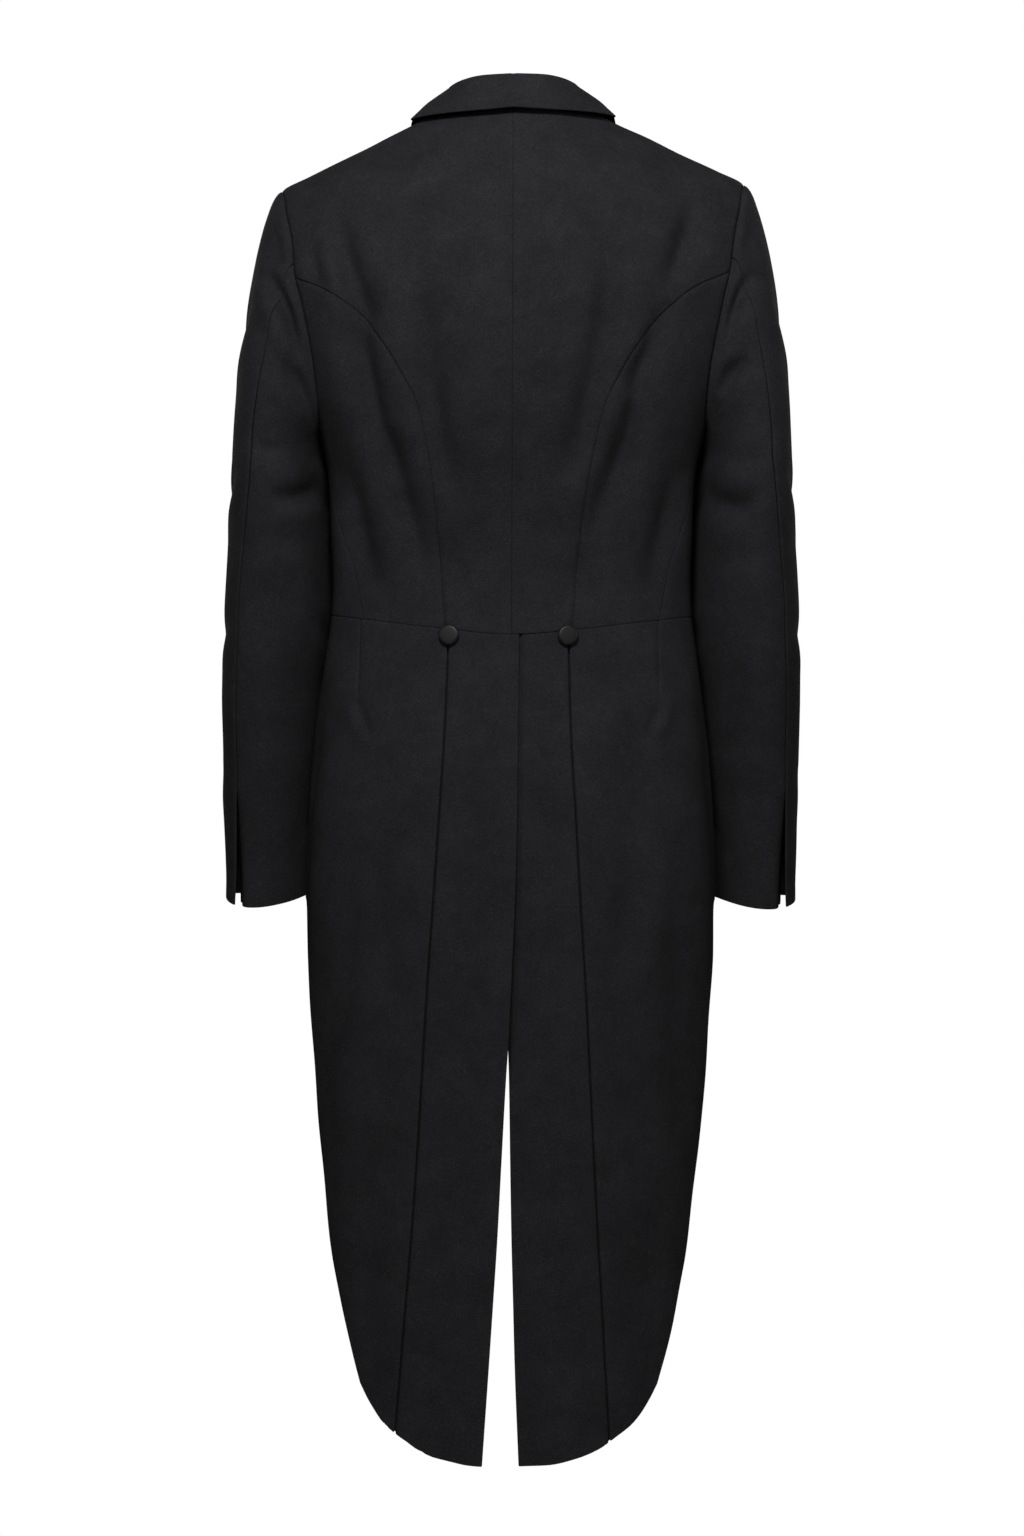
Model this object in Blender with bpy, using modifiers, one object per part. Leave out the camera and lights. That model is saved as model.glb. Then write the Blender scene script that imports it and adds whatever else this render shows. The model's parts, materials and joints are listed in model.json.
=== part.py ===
"""Black dress tailcoat in the hollow shape that it takes when it is worn, with nobody in it.

The coat's front faces -Y and its back +Y, with +Z up, and +X is the wearer's left. The origin is
the middle of the neck opening, level with the shoulders that carry the coat.

Every body panel is a stretch of one form: horizontal sections from the neck to the hem. A place
on the form is given by its girth (0 at the centre back, 1 at the side or on the shoulder ridge,
2 at the centre front) and its height. All sizes are in metres.
"""

import bpy
import numpy as np


def table(columns, *rows):
    """A short table of sizes in metres: its named columns, with a row for each section or point."""
    return dict(zip(columns.split(), np.array(rows, float).T))


# Cloth walls and the gaps between the pieces
CLOTH = 0.002
SEAM_GAP = 0.0004
LAP_GAP = 0.0006

# Levels
TIP_HEIGHT = -0.0525
PIT_HEIGHT = -0.264
WAIST_CENTRE_HEIGHT = -0.4457
WAIST_RISE = 0.0170
WAIST_LEVEL = 0.12
NECK_BACK_HEIGHT = 0.017
NECK_SIDE_HEIGHT = 0.018
FRONT_POINT_HEIGHT = -0.472
LAPEL_FOOT_HEIGHT = -0.400

# Armhole: how far it reaches round from the side to the back and to the front, in girth, and
# where seams meet it, as angles from the shoulder tip over the back (0 tip, 180 armpit)
ARMHOLE_BACK = 0.30
ARMHOLE_FRONT = 0.37
ARMHOLE_POWER = 2.3
HINDARM_ANGLE = 71.0
PRINCESS_ANGLE = 78.0
PIT_ANGLE = 180.0
FOREARM_ANGLE = 235.0

# Where the skirt's front edge meets the waist seam, in girth
SKIRT_FRONT = 1.5

# Buttons at the top of the tail pleats
BUTTON_RADIUS = 0.0091
BUTTON_THICKNESS = 0.0042
BUTTON_ROUNDING = 0.0012
BUTTON_X = 0.0505
BUTTON_HEIGHT = -0.4465
BUTTON_STANDOFF = 0.0007

# Panel mesh steps
ROWS_BODY = 14
ROWS_ARMHOLE_LOWER = 6
ROWS_TAIL = 22
COLUMNS_BACK = 7
COLUMNS_FRONT = 5
COLUMNS_FRONT_EDGE = 5
COLUMNS_TAIL_CENTRE = 4
COLUMNS_TAIL_SIDE = 9

BODY_SECTIONS = table(
    "height half_width side_y back_y front_y roundness",
    (  0.030,  0.053, 0.004,  0.060, -0.040,  2.0),
    (  0.022,  0.062, 0.004,  0.063, -0.043,  1.9),
    (  0.012, 0.0755, 0.005,  0.067, -0.046,  1.8),
    (  0.002,  0.093, 0.006,  0.072, -0.051,  1.7),
    ( -0.010, 0.1175, 0.007,  0.078, -0.057,  1.6),
    ( -0.024, 0.1465, 0.008,  0.084, -0.065, 1.52),
    ( -0.040,  0.180, 0.008,  0.091, -0.074,  1.5),
    (-0.0525, 0.2026, 0.008,  0.096, -0.080, 1.55),
    ( -0.083,  0.213, 0.007,  0.104, -0.094, 1.75),
    ( -0.120,  0.214, 0.006,  0.111, -0.107, 1.95),
    ( -0.161,  0.205, 0.006,  0.115, -0.116,  2.1),
    ( -0.202, 0.1925, 0.006,  0.115, -0.120,  2.2),
    ( -0.236,  0.181, 0.007,  0.112, -0.121, 2.25),
    ( -0.264,  0.171, 0.008,  0.108, -0.120,  2.3),
    ( -0.307, 0.1615, 0.010,  0.099, -0.115, 2.25),
    ( -0.359,  0.158, 0.013,  0.089, -0.108, 2.18),
    ( -0.396,  0.157, 0.014,  0.086, -0.105, 2.15),
    ( -0.428,  0.158, 0.014,  0.089, -0.107, 2.15),
    ( -0.464, 0.1625, 0.014,  0.097, -0.112, 2.18),
    ( -0.498, 0.1674, 0.013,  0.105, -0.116,  2.2),
    ( -0.550,  0.173, 0.012,  0.114, -0.120, 2.25),
    ( -0.606, 0.1776, 0.012,  0.119, -0.121, 2.28),
    ( -0.676, 0.1796, 0.013,  0.121, -0.121,  2.3),
    ( -0.729, 0.1774, 0.015, 0.1205, -0.120,  2.3),
    ( -0.805, 0.1736, 0.018, 0.1185, -0.115,  2.3),
    ( -0.900,  0.168, 0.023,  0.115, -0.110,  2.3),
    ( -1.000, 0.1605, 0.027,  0.111, -0.105,  2.3),
    ( -1.180,  0.150, 0.031,  0.104, -0.100,  2.3),
)

# The broad hollows that the drape leaves in the back: centre, half size and depth of each
BACK_HOLLOWS = table(
    "x height half_x half_height depth",
    (0.132, -0.150, 0.026, 0.085,  0.003),
    (0.080, -0.240, 0.024, 0.110, 0.0022),
)

# Seams that show on the back, by how far they lie from the centre back
PRINCESS_SEAM = table(
    "height x",
    ( -0.441, 0.0553),
    ( -0.420,  0.057),
    ( -0.383, 0.0599),
    ( -0.345,  0.064),
    ( -0.300, 0.0697),
    (-0.2545, 0.0794),
    ( -0.230, 0.0894),
    (-0.2015, 0.1056),
    ( -0.179, 0.1231),
    ( -0.157, 0.1445),
    ( -0.142,  0.166),
)
SIDE_SEAM = table(
    "height girth",
    (-0.433, 0.590),
    (-0.402, 0.639),
    (-0.382, 0.675),
    (-0.361, 0.737),
    (-0.340, 0.800),
    (-0.310, 0.880),
    (-0.285, 0.950),
)
PLEAT_LINE = table(
    "height x",
    (-0.441, 0.0526),
    (-0.520, 0.0551),
    (-0.614, 0.0605),
    (-0.678, 0.0643),
    (-0.761, 0.0698),
    (-0.859,  0.075),
    (-0.907, 0.0777),
    (-0.980, 0.0824),
    (-1.052, 0.0875),
    (-1.138, 0.0937),
)
# The centre edges of the two tails: the wearer's left one laps over the right one
VENT_EDGES = table(
    "height left_x right_x",
    (-0.4457, -0.0069,  -0.014),
    ( -0.605, -0.0056,  -0.010),
    ( -0.680, -0.0039, -0.0065),
    ( -0.741, -0.0013,  -0.004),
    ( -0.790,  0.0008, -0.0022),
    ( -0.830,  0.0033, -0.0008),
    ( -0.898,  0.0068,  0.0004),
    ( -0.968,  0.0103,  0.0018),
    ( -1.023,  0.0137,  0.0034),
    ( -1.078,  0.0172,   0.005),
    (-1.1645,  0.0229,  0.0087),
)
# The skirt's front edge, first by girth round the hip and then by its distance from the centre
SKIRT_EDGE_HIGH = table(
    "height girth",
    (-0.434,   1.5),
    (-0.500,  1.38),
    (-0.560, 1.250),
    (-0.620, 1.110),
    (-0.676, 1.000),
)
SKIRT_EDGE_LOW = table(
    "height x",
    (-0.676, 0.1796),
    (-0.729, 0.1765),
    (-0.805, 0.1719),
    (-0.860, 0.1681),
    (-0.915, 0.1623),
    (-0.971, 0.1554),
    (-1.025,  0.146),
    (-1.066, 0.1365),
    (-1.094, 0.1288),
)
HEM = table(
    "x height",
    (   0.0, -1.1645),
    (0.0343, -1.1625),
    ( 0.058,  -1.157),
    (0.0774, -1.1492),
    (0.0937,  -1.138),
    ( 0.105, -1.1296),
    (0.1128, -1.1213),
    (0.1217, -1.1078),
    (0.1288,  -1.094),
)

# The opening edge of the front: neckline, roll line and front edge, by distance from the centre
FRONT_EDGE = table(
    "height x",
    ( 0.018, 0.0676),
    ( 0.010, 0.0672),
    (   0.0, 0.0665),
    (-0.012, 0.0657),
    (-0.025, 0.0645),
    (-0.046, 0.0622),
    (-0.083, 0.0585),
    (-0.120,  0.055),
    (-0.200,  0.047),
    (-0.300,  0.038),
    (-0.400,  0.030),
    (-0.472,  0.040),
)

# Heights on that edge of the rows that come from the armpit, the forearm seam, the shoulder tip
# and the neck point
FRONT_EDGE_ROWS = (-0.335, -0.235, -0.052, 0.004)

# The sleeve below the bicep: the wearer's left one
SLEEVE_SECTIONS = table(
    "height centre_x centre_y half_x half_y turn",
    (-0.290, 0.2053, -0.010,  0.037, 0.068, 15.0),
    (-0.360, 0.2034, -0.014,  0.044, 0.067, 16.0),
    (-0.430,  0.205, -0.018, 0.0466, 0.064, 17.0),
    (-0.500, 0.2095, -0.026, 0.0438, 0.061, 16.0),
    (-0.560, 0.2112, -0.034, 0.0418, 0.058, 15.0),
    (-0.620, 0.2127, -0.041, 0.0392, 0.056, 15.0),
    (-0.690, 0.2133, -0.048,  0.036, 0.054, 15.0),
)
SLEEVE_ROWS_HEAD = 7
SLEEVE_ROWS_ARM = 11
CUFF_SIDE_HEIGHT = -0.674
CUFF_BACK_DROP = 0.011
HINDARM_SEAM = table(
    "height angle",
    (-0.290, 82.0),
    (-0.360, 71.0),
    (-0.430, 66.0),
    (-0.690, 66.0),
)
HEAD_START_PULL = 0.30
HEAD_END_PULL = 1.0
HEAD_STANDOFF = 0.0005
VENT_LENGTH = 0.100
VENT_OPENING = 0.0016

# The collar, from the centre back to its front end: where it is sewn on and where its free edge
# lies, both on the body form, and the fold between them
COLLAR_ROWS = table(
    "seam_girth seam_height fold_x fold_y fold_z edge_girth edge_height edge_lift",
    (  0.0,    0.0,    0.0,  0.060, 0.0427,   0.0,  0.0062, 0.0055),
    (0.250,    0.0, 0.0264,  0.055,  0.042, 0.300,  0.0062, 0.0055),
    (0.500,    0.0,  0.044,  0.042, 0.0395, 0.550,   0.006,  0.005),
    (0.750,    0.0, 0.0545,  0.023, 0.0352, 0.800,   0.004, 0.0042),
    (1.000,  0.018,  0.059,  0.002,  0.029, 1.000,  0.0005, 0.0036),
    (1.220,  0.010, 0.0605, -0.018,  0.020, 1.220, -0.0045, 0.0036),
    (  1.4,    0.0, 0.0612, -0.035,  0.008,  1.39,  -0.013, 0.0036),
    ( 1.56, -0.014,  0.061, -0.050, -0.008,  1.51,  -0.026, 0.0036),
    ( 1.66, -0.029, 0.0605, -0.062, -0.025,  1.59,  -0.042, 0.0036),
    (1.713, -0.043,  0.060, -0.071, -0.040, 1.635,  -0.056, 0.0036),
)
COLLAR_HALF_FOLD = 0.0020
COLLAR_FALL_BULGE = 0.0008
COLLAR_STEPS = 28
COLLAR_SEAM_RISE = 0.0004

# The lapel in the front view: its free edge from the foot to the peak, and its top from the
# roll line past the notch to the peak
LAPEL_FREE_EDGE = table(
    "height x",
    (-0.400, 0.035),
    (-0.360, 0.053),
    (-0.300, 0.079),
    (-0.230, 0.102),
    (-0.170, 0.118),
    (-0.120, 0.129),
    (-0.083, 0.136),
    (-0.056, 0.141),
)
LAPEL_TOP = table(
    "x height",
    (0.062, -0.048),
    (0.076, -0.056),
    (0.088, -0.063),
    (0.096, -0.067),
    (0.118, -0.064),
    (0.141, -0.056),
)
LAPEL_ROWS = 14
NOTCH_COLUMN = 4
LAPEL_COLUMNS = 8
LAPEL_LIFT = 0.0032
LAPEL_ROLL_LIFT = 0.0065
LAPEL_ROLL_REACH = 0.0022

WOOL_COLOUR = (0.018, 0.018, 0.019, 1.0)
SATIN_COLOUR = (0.012, 0.012, 0.013, 1.0)
BUTTON_COLOUR = (0.020, 0.020, 0.021, 1.0)


def smooth(places, values, at):
    """A smooth curve through the rows of a table, read at any place, that never overshoots them."""
    places, values = np.array(places, float), np.array(values, float)
    if places[0] > places[-1]:
        places, values = places[::-1], values[::-1]
    step = np.diff(places)
    slope = np.diff(values) / step
    product, total = slope[:-1] * slope[1:], slope[:-1] + slope[1:]
    same_way = product > 0
    inner = np.where(same_way, 2 * product / np.where(same_way, total, 1), 0)
    tangent = np.concatenate([slope[:1], inner, slope[-1:]])
    at = np.clip(at, places[0], places[-1])
    row = np.clip(np.searchsorted(places, at, side="right") - 1, 0, len(step) - 1)
    t = (at - places[row]) / step[row]
    return (
        (1 + 2 * t) * (1 - t) ** 2 * values[row]
        + t**2 * (3 - 2 * t) * values[row + 1]
        + t * (1 - t) ** 2 * step[row] * tangent[row]
        - t**2 * (1 - t) * step[row] * tangent[row + 1]
    )


def section(column, height):
    """One column of the body sections at a height."""
    return smooth(BODY_SECTIONS["height"], BODY_SECTIONS[column], height)


def signed_power(base, power):
    return np.sign(base) * np.abs(base) ** power


def hollow_depth(x, height):
    """How far the back is hollowed by the drape, the same on both sides."""
    depth = 0.0
    for centre_x, centre_z, half_x, half_z, most in zip(*BACK_HOLLOWS.values()):
        reach = ((np.abs(x) - centre_x) / half_x) ** 2 + ((height - centre_z) / half_z) ** 2
        depth = depth + most * np.exp(-reach)
    return depth


def body_points(girth, height):
    """Points of the form: each section is a rounded oval, deeper behind or in front of its side."""
    girth, height = np.broadcast_arrays(np.asarray(girth, float), np.asarray(height, float))
    angle = girth * np.pi / 2
    power = 2 / section("roundness", height)
    x = section("half_width", height) * signed_power(np.sin(angle), power)
    across = signed_power(np.cos(angle), power)
    side_y = section("side_y", height)
    behind, before = section("back_y", height) - side_y, side_y - section("front_y", height)
    y = side_y + np.where(across > 0, behind, before) * across
    y = y - np.where(across > 0, hollow_depth(x, height) * np.clip(across * 2, 0, 1), 0)
    return np.stack([x, y, height], axis=-1)


def body_normals(girth, height):
    """Outward directions of the form, from its slopes round and up."""
    round_step, up_step = 0.02, 0.003
    around = body_points(girth + round_step, height) - body_points(girth - round_step, height)
    upward = body_points(girth, height + up_step) - body_points(girth, height - up_step)
    return unit(np.cross(upward, around))


def unit(vectors):
    return vectors / np.maximum(np.linalg.norm(vectors, axis=-1, keepdims=True), 1e-12)


def girth_at(x, height, front=False):
    """The girth where the form lies that far from the centre, behind or in front."""
    share = np.clip(np.abs(x) / section("half_width", height), 0, 1)
    girth = np.arcsin(share ** (section("roundness", height) / 2)) * 2 / np.pi
    return 2 - girth if front else np.sign(x) * girth


def pairs(girth, height):
    """(girth, height) places as one array of rows."""
    return np.stack(np.broadcast_arrays(np.asarray(girth, float), np.asarray(height, float)), axis=-1)


def resampled(places, count):
    """The same line with that many steps of even length on the form."""
    fine = np.linspace(0, len(places) - 1, 400)
    line = np.stack([np.interp(fine, np.arange(len(places)), places[:, k]) for k in (0, 1)], axis=-1)
    points = body_points(line[:, 0], line[:, 1])
    length = np.concatenate([[0], np.cumsum(np.linalg.norm(np.diff(points, axis=0), axis=1))])
    wanted = np.linspace(0, length[-1], count + 1)
    return np.stack([np.interp(wanted, length, line[:, k]) for k in (0, 1)], axis=-1)


def waist_height(girth):
    """The waist seam: lowest at the centre back, level there, and rising to the sides."""
    side = np.sqrt(np.sin(np.asarray(girth) * np.pi / 2) ** 2 + WAIST_LEVEL**2) - WAIST_LEVEL
    return WAIST_CENTRE_HEIGHT + WAIST_RISE * side / (np.sqrt(1 + WAIST_LEVEL**2) - WAIST_LEVEL)


def armhole(angles):
    """Places on the armhole loop, by angle from the shoulder tip over the back to the armpit."""
    turn = np.radians(angles)
    power = 2 / ARMHOLE_POWER
    middle, half = (TIP_HEIGHT + PIT_HEIGHT) / 2, (TIP_HEIGHT - PIT_HEIGHT) / 2
    height = middle + half * signed_power(np.cos(turn), power)
    reach = signed_power(np.sin(turn), power)
    return pairs(1 - np.where(reach > 0, ARMHOLE_BACK, ARMHOLE_FRONT) * reach, height)


def armhole_angles():
    """The armhole's mesh steps, which the body panels and the sleeve share so that they meet."""
    return {
        "upper_back": np.linspace(0, HINDARM_ANGLE, 5),
        "seams": np.array([HINDARM_ANGLE, PRINCESS_ANGLE]),
        "lower_back": np.linspace(PRINCESS_ANGLE, PIT_ANGLE, ROWS_ARMHOLE_LOWER + 1),
        "lower_front": np.linspace(PIT_ANGLE, FOREARM_ANGLE, 4),
        "upper_front": np.linspace(FOREARM_ANGLE, 360, 8),
    }


def patch(left, right, bottom, top):
    """A grid of places between four edge lines, blended between them. Its rows run upward."""
    rows, columns = len(left), len(bottom)
    v = np.linspace(0, 1, rows)[:, None, None]
    u = np.linspace(0, 1, columns)[None, :, None]
    sides = (1 - u) * left[:, None] + u * right[:, None]
    ends = (1 - v) * bottom[None] + v * top[None]
    corners = (1 - v) * ((1 - u) * bottom[0] + u * bottom[-1]) + v * ((1 - u) * top[0] + u * top[-1])
    return sides + ends - corners


def drawn_in(points, amount):
    """The grid with its four edges moved in by that much, for the gap that a seam leaves."""
    points = points.copy()
    for grid in (points, points.swapaxes(0, 1)):
        for edge, inner in ((0, 1), (-1, -2)):
            along = unit(np.gradient(grid[edge], axis=0))
            inward = grid[inner] - grid[edge]
            inward = unit(inward - (inward * along).sum(-1, keepdims=True) * along)
            grid[edge] += inward * amount
    return points


def material(name, colour, roughness, metallic=0.0):
    made = bpy.data.materials.get(name) or bpy.data.materials.new(name)
    made.use_nodes = True
    shader = made.node_tree.nodes["Principled BSDF"]
    shader.inputs["Base Color"].default_value = colour
    shader.inputs["Roughness"].default_value = roughness
    shader.inputs["Metallic"].default_value = metallic
    return made


def wall(name, outer, normals, finish, collection, thickness=CLOTH):
    """A cloth panel as a closed wall: the outer grid, the same grid moved in, and the cut edge."""
    rows, columns = outer.shape[:2]
    facing = np.cross(np.diff(outer, axis=0)[:, :-1], np.diff(outer, axis=1)[:-1])
    outward = (facing * normals[:-1, :-1]).sum() > 0
    index = np.arange(rows * columns).reshape(rows, columns)
    inner = index + rows * columns
    a, b, c, d = index[:-1, :-1], index[1:, :-1], index[1:, 1:], index[:-1, 1:]
    faces = list(np.stack([a, b, c, d], axis=-1).reshape(-1, 4))
    faces += list(np.stack([a, d, c, b], axis=-1).reshape(-1, 4) + rows * columns)
    rim = np.concatenate([index[0, :], index[1:, -1], index[-1, -2::-1], index[-2:0:-1, 0]])
    ahead = np.roll(rim, -1)
    faces += list(np.stack([rim, ahead, ahead + inner[0, 0], rim + inner[0, 0]], axis=-1))
    points = np.concatenate([outer.reshape(-1, 3), (outer - normals * thickness).reshape(-1, 3)])
    order = slice(None) if outward else slice(None, None, -1)
    mesh = bpy.data.meshes.new(name)
    mesh.from_pydata(points.tolist(), [], [face[order].tolist() for face in faces])
    mesh.validate()
    mesh.shade_smooth()
    mesh.set_sharp_from_angle(angle=np.radians(50))
    mesh.materials.append(finish)
    piece = bpy.data.objects.new(name, mesh)
    collection.objects.link(piece)
    return piece


def on_side(vectors, side):
    """The wearer's left as it is, or mirrored to the right."""
    return vectors * np.array([side, 1, 1])


def body_panel(name, places, side, finish, collection, sink=None):
    """A panel of the body form, drawn in at its seams and sunk where another panel laps it."""
    points = body_points(places[..., 0], places[..., 1])
    normals = body_normals(places[..., 0], places[..., 1])
    if sink is not None:
        points = points - normals * sink[..., None]
    points = drawn_in(points, SEAM_GAP / 2)
    return wall(name, on_side(points, side), on_side(normals, side), finish, collection)


def princess_line(count):
    """The curved back seam, from the waist up to the armhole."""
    heights = np.array(PRINCESS_SEAM["height"])
    line = pairs(girth_at(np.array(PRINCESS_SEAM["x"]), heights), heights)
    line[0, 1] = waist_height(line[0, 0])
    line = np.concatenate([line, armhole([PRINCESS_ANGLE])])
    return resampled(line, count)


def side_seam_line(count):
    line = pairs(SIDE_SEAM["girth"], SIDE_SEAM["height"])
    line[0, 1] = waist_height(line[0, 0])
    line = np.concatenate([line, armhole([PIT_ANGLE])])
    return resampled(line, count)


def waist_line(start, end, count):
    girth = np.linspace(start, end, count + 1)
    return pairs(girth, waist_height(girth))


def back_places():
    """The back: centre seam, princess seam, armhole, shoulder seam and neck."""
    angles = armhole_angles()
    upper = armhole(np.concatenate([angles["upper_back"], angles["seams"][1:]]))[::-1]
    shoulder = pairs(1.0, np.linspace(TIP_HEIGHT, NECK_SIDE_HEIGHT, 6))
    princess = princess_line(ROWS_BODY - 1)
    right = np.concatenate([princess, upper[1:], shoulder[1:]])
    centre_share = np.interp(
        np.arange(len(right)),
        [0, len(princess) - 1, len(princess) + len(upper) - 2, len(right) - 1],
        [0, 0.62, 0.83, 1],
    )
    left = pairs(0.0, WAIST_CENTRE_HEIGHT + centre_share * (NECK_BACK_HEIGHT - WAIST_CENTRE_HEIGHT))
    neck_girth = np.linspace(0, 1, COLUMNS_BACK + 1)
    top = pairs(neck_girth, neck_height(neck_girth))
    return patch(left, right, waist_line(0.0, right[0, 0], COLUMNS_BACK), top)


def neck_height(girth):
    return NECK_BACK_HEIGHT - (NECK_BACK_HEIGHT - NECK_SIDE_HEIGHT) * np.asarray(girth) ** 2


def side_back_places():
    """The side back: between the princess seam and the side seam, under the armhole."""
    rows = ROWS_BODY - 1
    left, right = princess_line(rows), side_seam_line(rows)
    bottom = waist_line(left[0, 0], right[0, 0], ROWS_ARMHOLE_LOWER)
    return patch(left, right, bottom, armhole(armhole_angles()["lower_back"]))


def front_edge_line(heights):
    x = smooth(FRONT_EDGE["height"], FRONT_EDGE["x"], heights)
    line = pairs(girth_at(x, heights, front=True), heights)
    line[heights >= NECK_SIDE_HEIGHT - 1e-6, 0] = 1.0
    return line


def front_bottom_height(girth, front_girth):
    """The waist seam as far as the skirt, and then the free lower edge down to the front point."""
    past = np.clip((girth - SKIRT_FRONT) / (front_girth - SKIRT_FRONT), 0, 1)
    return waist_height(girth) * (1 - past**2) + FRONT_POINT_HEIGHT * past**2


def front_places():
    """The forepart: side seam, armhole, shoulder seam, neckline and roll line, and lower edge."""
    angles = armhole_angles()
    fore = armhole(np.concatenate([angles["lower_front"], angles["upper_front"][1:]]))
    shoulder = pairs(1.0, np.linspace(TIP_HEIGHT, NECK_SIDE_HEIGHT, 6))
    side = side_seam_line(ROWS_BODY - 1)
    left = np.concatenate([side, fore[1:], shoulder[1:]])
    pit, tip = len(side) - 1, len(side) + len(fore) - 2
    heights = np.interp(
        np.arange(len(left)), [0, pit, pit + 4, tip, len(left) - 1], [FRONT_POINT_HEIGHT, *FRONT_EDGE_ROWS]
    )
    right = front_edge_line(heights)
    girth = np.concatenate([
        np.linspace(left[0, 0], SKIRT_FRONT, COLUMNS_FRONT + 1),
        np.linspace(SKIRT_FRONT, right[0, 0], COLUMNS_FRONT_EDGE + 1)[1:],
    ])
    bottom = pairs(girth, front_bottom_height(girth, right[0, 0]))
    top_heights = np.linspace(NECK_SIDE_HEIGHT, heights[-1], len(girth))
    return patch(left, right, bottom, front_edge_line(top_heights))


def tail_side_places():
    """The side of the skirt: pleat line, waist seam, front edge and the rounded foot of the hem."""
    share = np.linspace(0, 1, ROWS_TAIL)[:, None] ** 0.92
    pleat_low, pleat_high = PLEAT_LINE["height"][-1], PLEAT_LINE["height"][0]
    left_heights = pleat_low + share[:, 0] * (pleat_high - pleat_low)
    left = pleat_places(left_heights)
    edge_low, edge_high = SKIRT_EDGE_LOW["height"][-1], SKIRT_EDGE_HIGH["height"][0]
    right_heights = edge_low + share[:, 0] * (edge_high - edge_low)
    right = skirt_edge_places(right_heights)
    foot_x = np.linspace(PLEAT_LINE["x"][-1], HEM["x"][-1], COLUMNS_TAIL_SIDE + 1)
    foot_heights = smooth(HEM["x"], HEM["height"], foot_x)
    bottom = pairs(girth_at(foot_x, foot_heights), foot_heights)
    top = waist_line(left[-1, 0], SKIRT_FRONT, COLUMNS_TAIL_SIDE)
    left[-1], right[-1], left[0], right[0] = top[0], top[-1], bottom[0], bottom[-1]
    return patch(left, right, bottom, top)


def pleat_places(heights):
    return pairs(girth_at(smooth(PLEAT_LINE["height"], PLEAT_LINE["x"], heights), heights), heights)


def skirt_edge_places(heights):
    """The skirt's front edge: round the hip above, and by its distance from the centre below."""
    high = smooth(SKIRT_EDGE_HIGH["height"], SKIRT_EDGE_HIGH["girth"], heights)
    low = girth_at(smooth(SKIRT_EDGE_LOW["height"], SKIRT_EDGE_LOW["x"], heights), heights)
    return pairs(np.where(heights > SKIRT_EDGE_LOW["height"][0], high, low), heights)


def tail_centre_places(vent_column):
    """The centre of a tail: vent edge, waist seam, pleat line and hem."""
    share = np.linspace(0, 1, ROWS_TAIL) ** 0.92
    vent_low, vent_high = VENT_EDGES["height"][-1], VENT_EDGES["height"][0]
    left_heights = vent_low + share * (vent_high - vent_low)
    vent_x = smooth(VENT_EDGES["height"], VENT_EDGES[vent_column], left_heights)
    left = pairs(girth_at(vent_x, left_heights), left_heights)
    pleat_low, pleat_high = PLEAT_LINE["height"][-1], PLEAT_LINE["height"][0]
    right = pleat_places(pleat_low + share * (pleat_high - pleat_low))
    hem_x = np.linspace(vent_x[0], PLEAT_LINE["x"][-1], COLUMNS_TAIL_CENTRE + 1)
    hem_heights = smooth(HEM["x"], HEM["height"], hem_x)
    bottom = pairs(girth_at(hem_x, hem_heights), hem_heights)
    top = waist_line(left[-1, 0], right[-1, 0], COLUMNS_TAIL_CENTRE)
    left[-1], right[-1], left[0], right[0] = top[0], top[-1], bottom[0], bottom[-1]
    return patch(left, right, bottom, top)


def sleeve_ring(heights, angles):
    """Points of the left sleeve's sections, by angle from its outer side over the back."""
    turn = np.radians(smooth(SLEEVE_SECTIONS["height"], SLEEVE_SECTIONS["turn"], heights))
    read = {
        column: smooth(SLEEVE_SECTIONS["height"], SLEEVE_SECTIONS[column], heights)
        for column in ("centre_x", "centre_y", "half_x", "half_y")
    }
    across = read["half_x"] * np.cos(np.radians(angles))
    along = read["half_y"] * np.sin(np.radians(angles))
    x = read["centre_x"] + across * np.cos(turn) + along * np.sin(turn)
    y = read["centre_y"] - across * np.sin(turn) + along * np.cos(turn)
    return np.stack([x, y, np.broadcast_to(heights, x.shape)], axis=-1)


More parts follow.
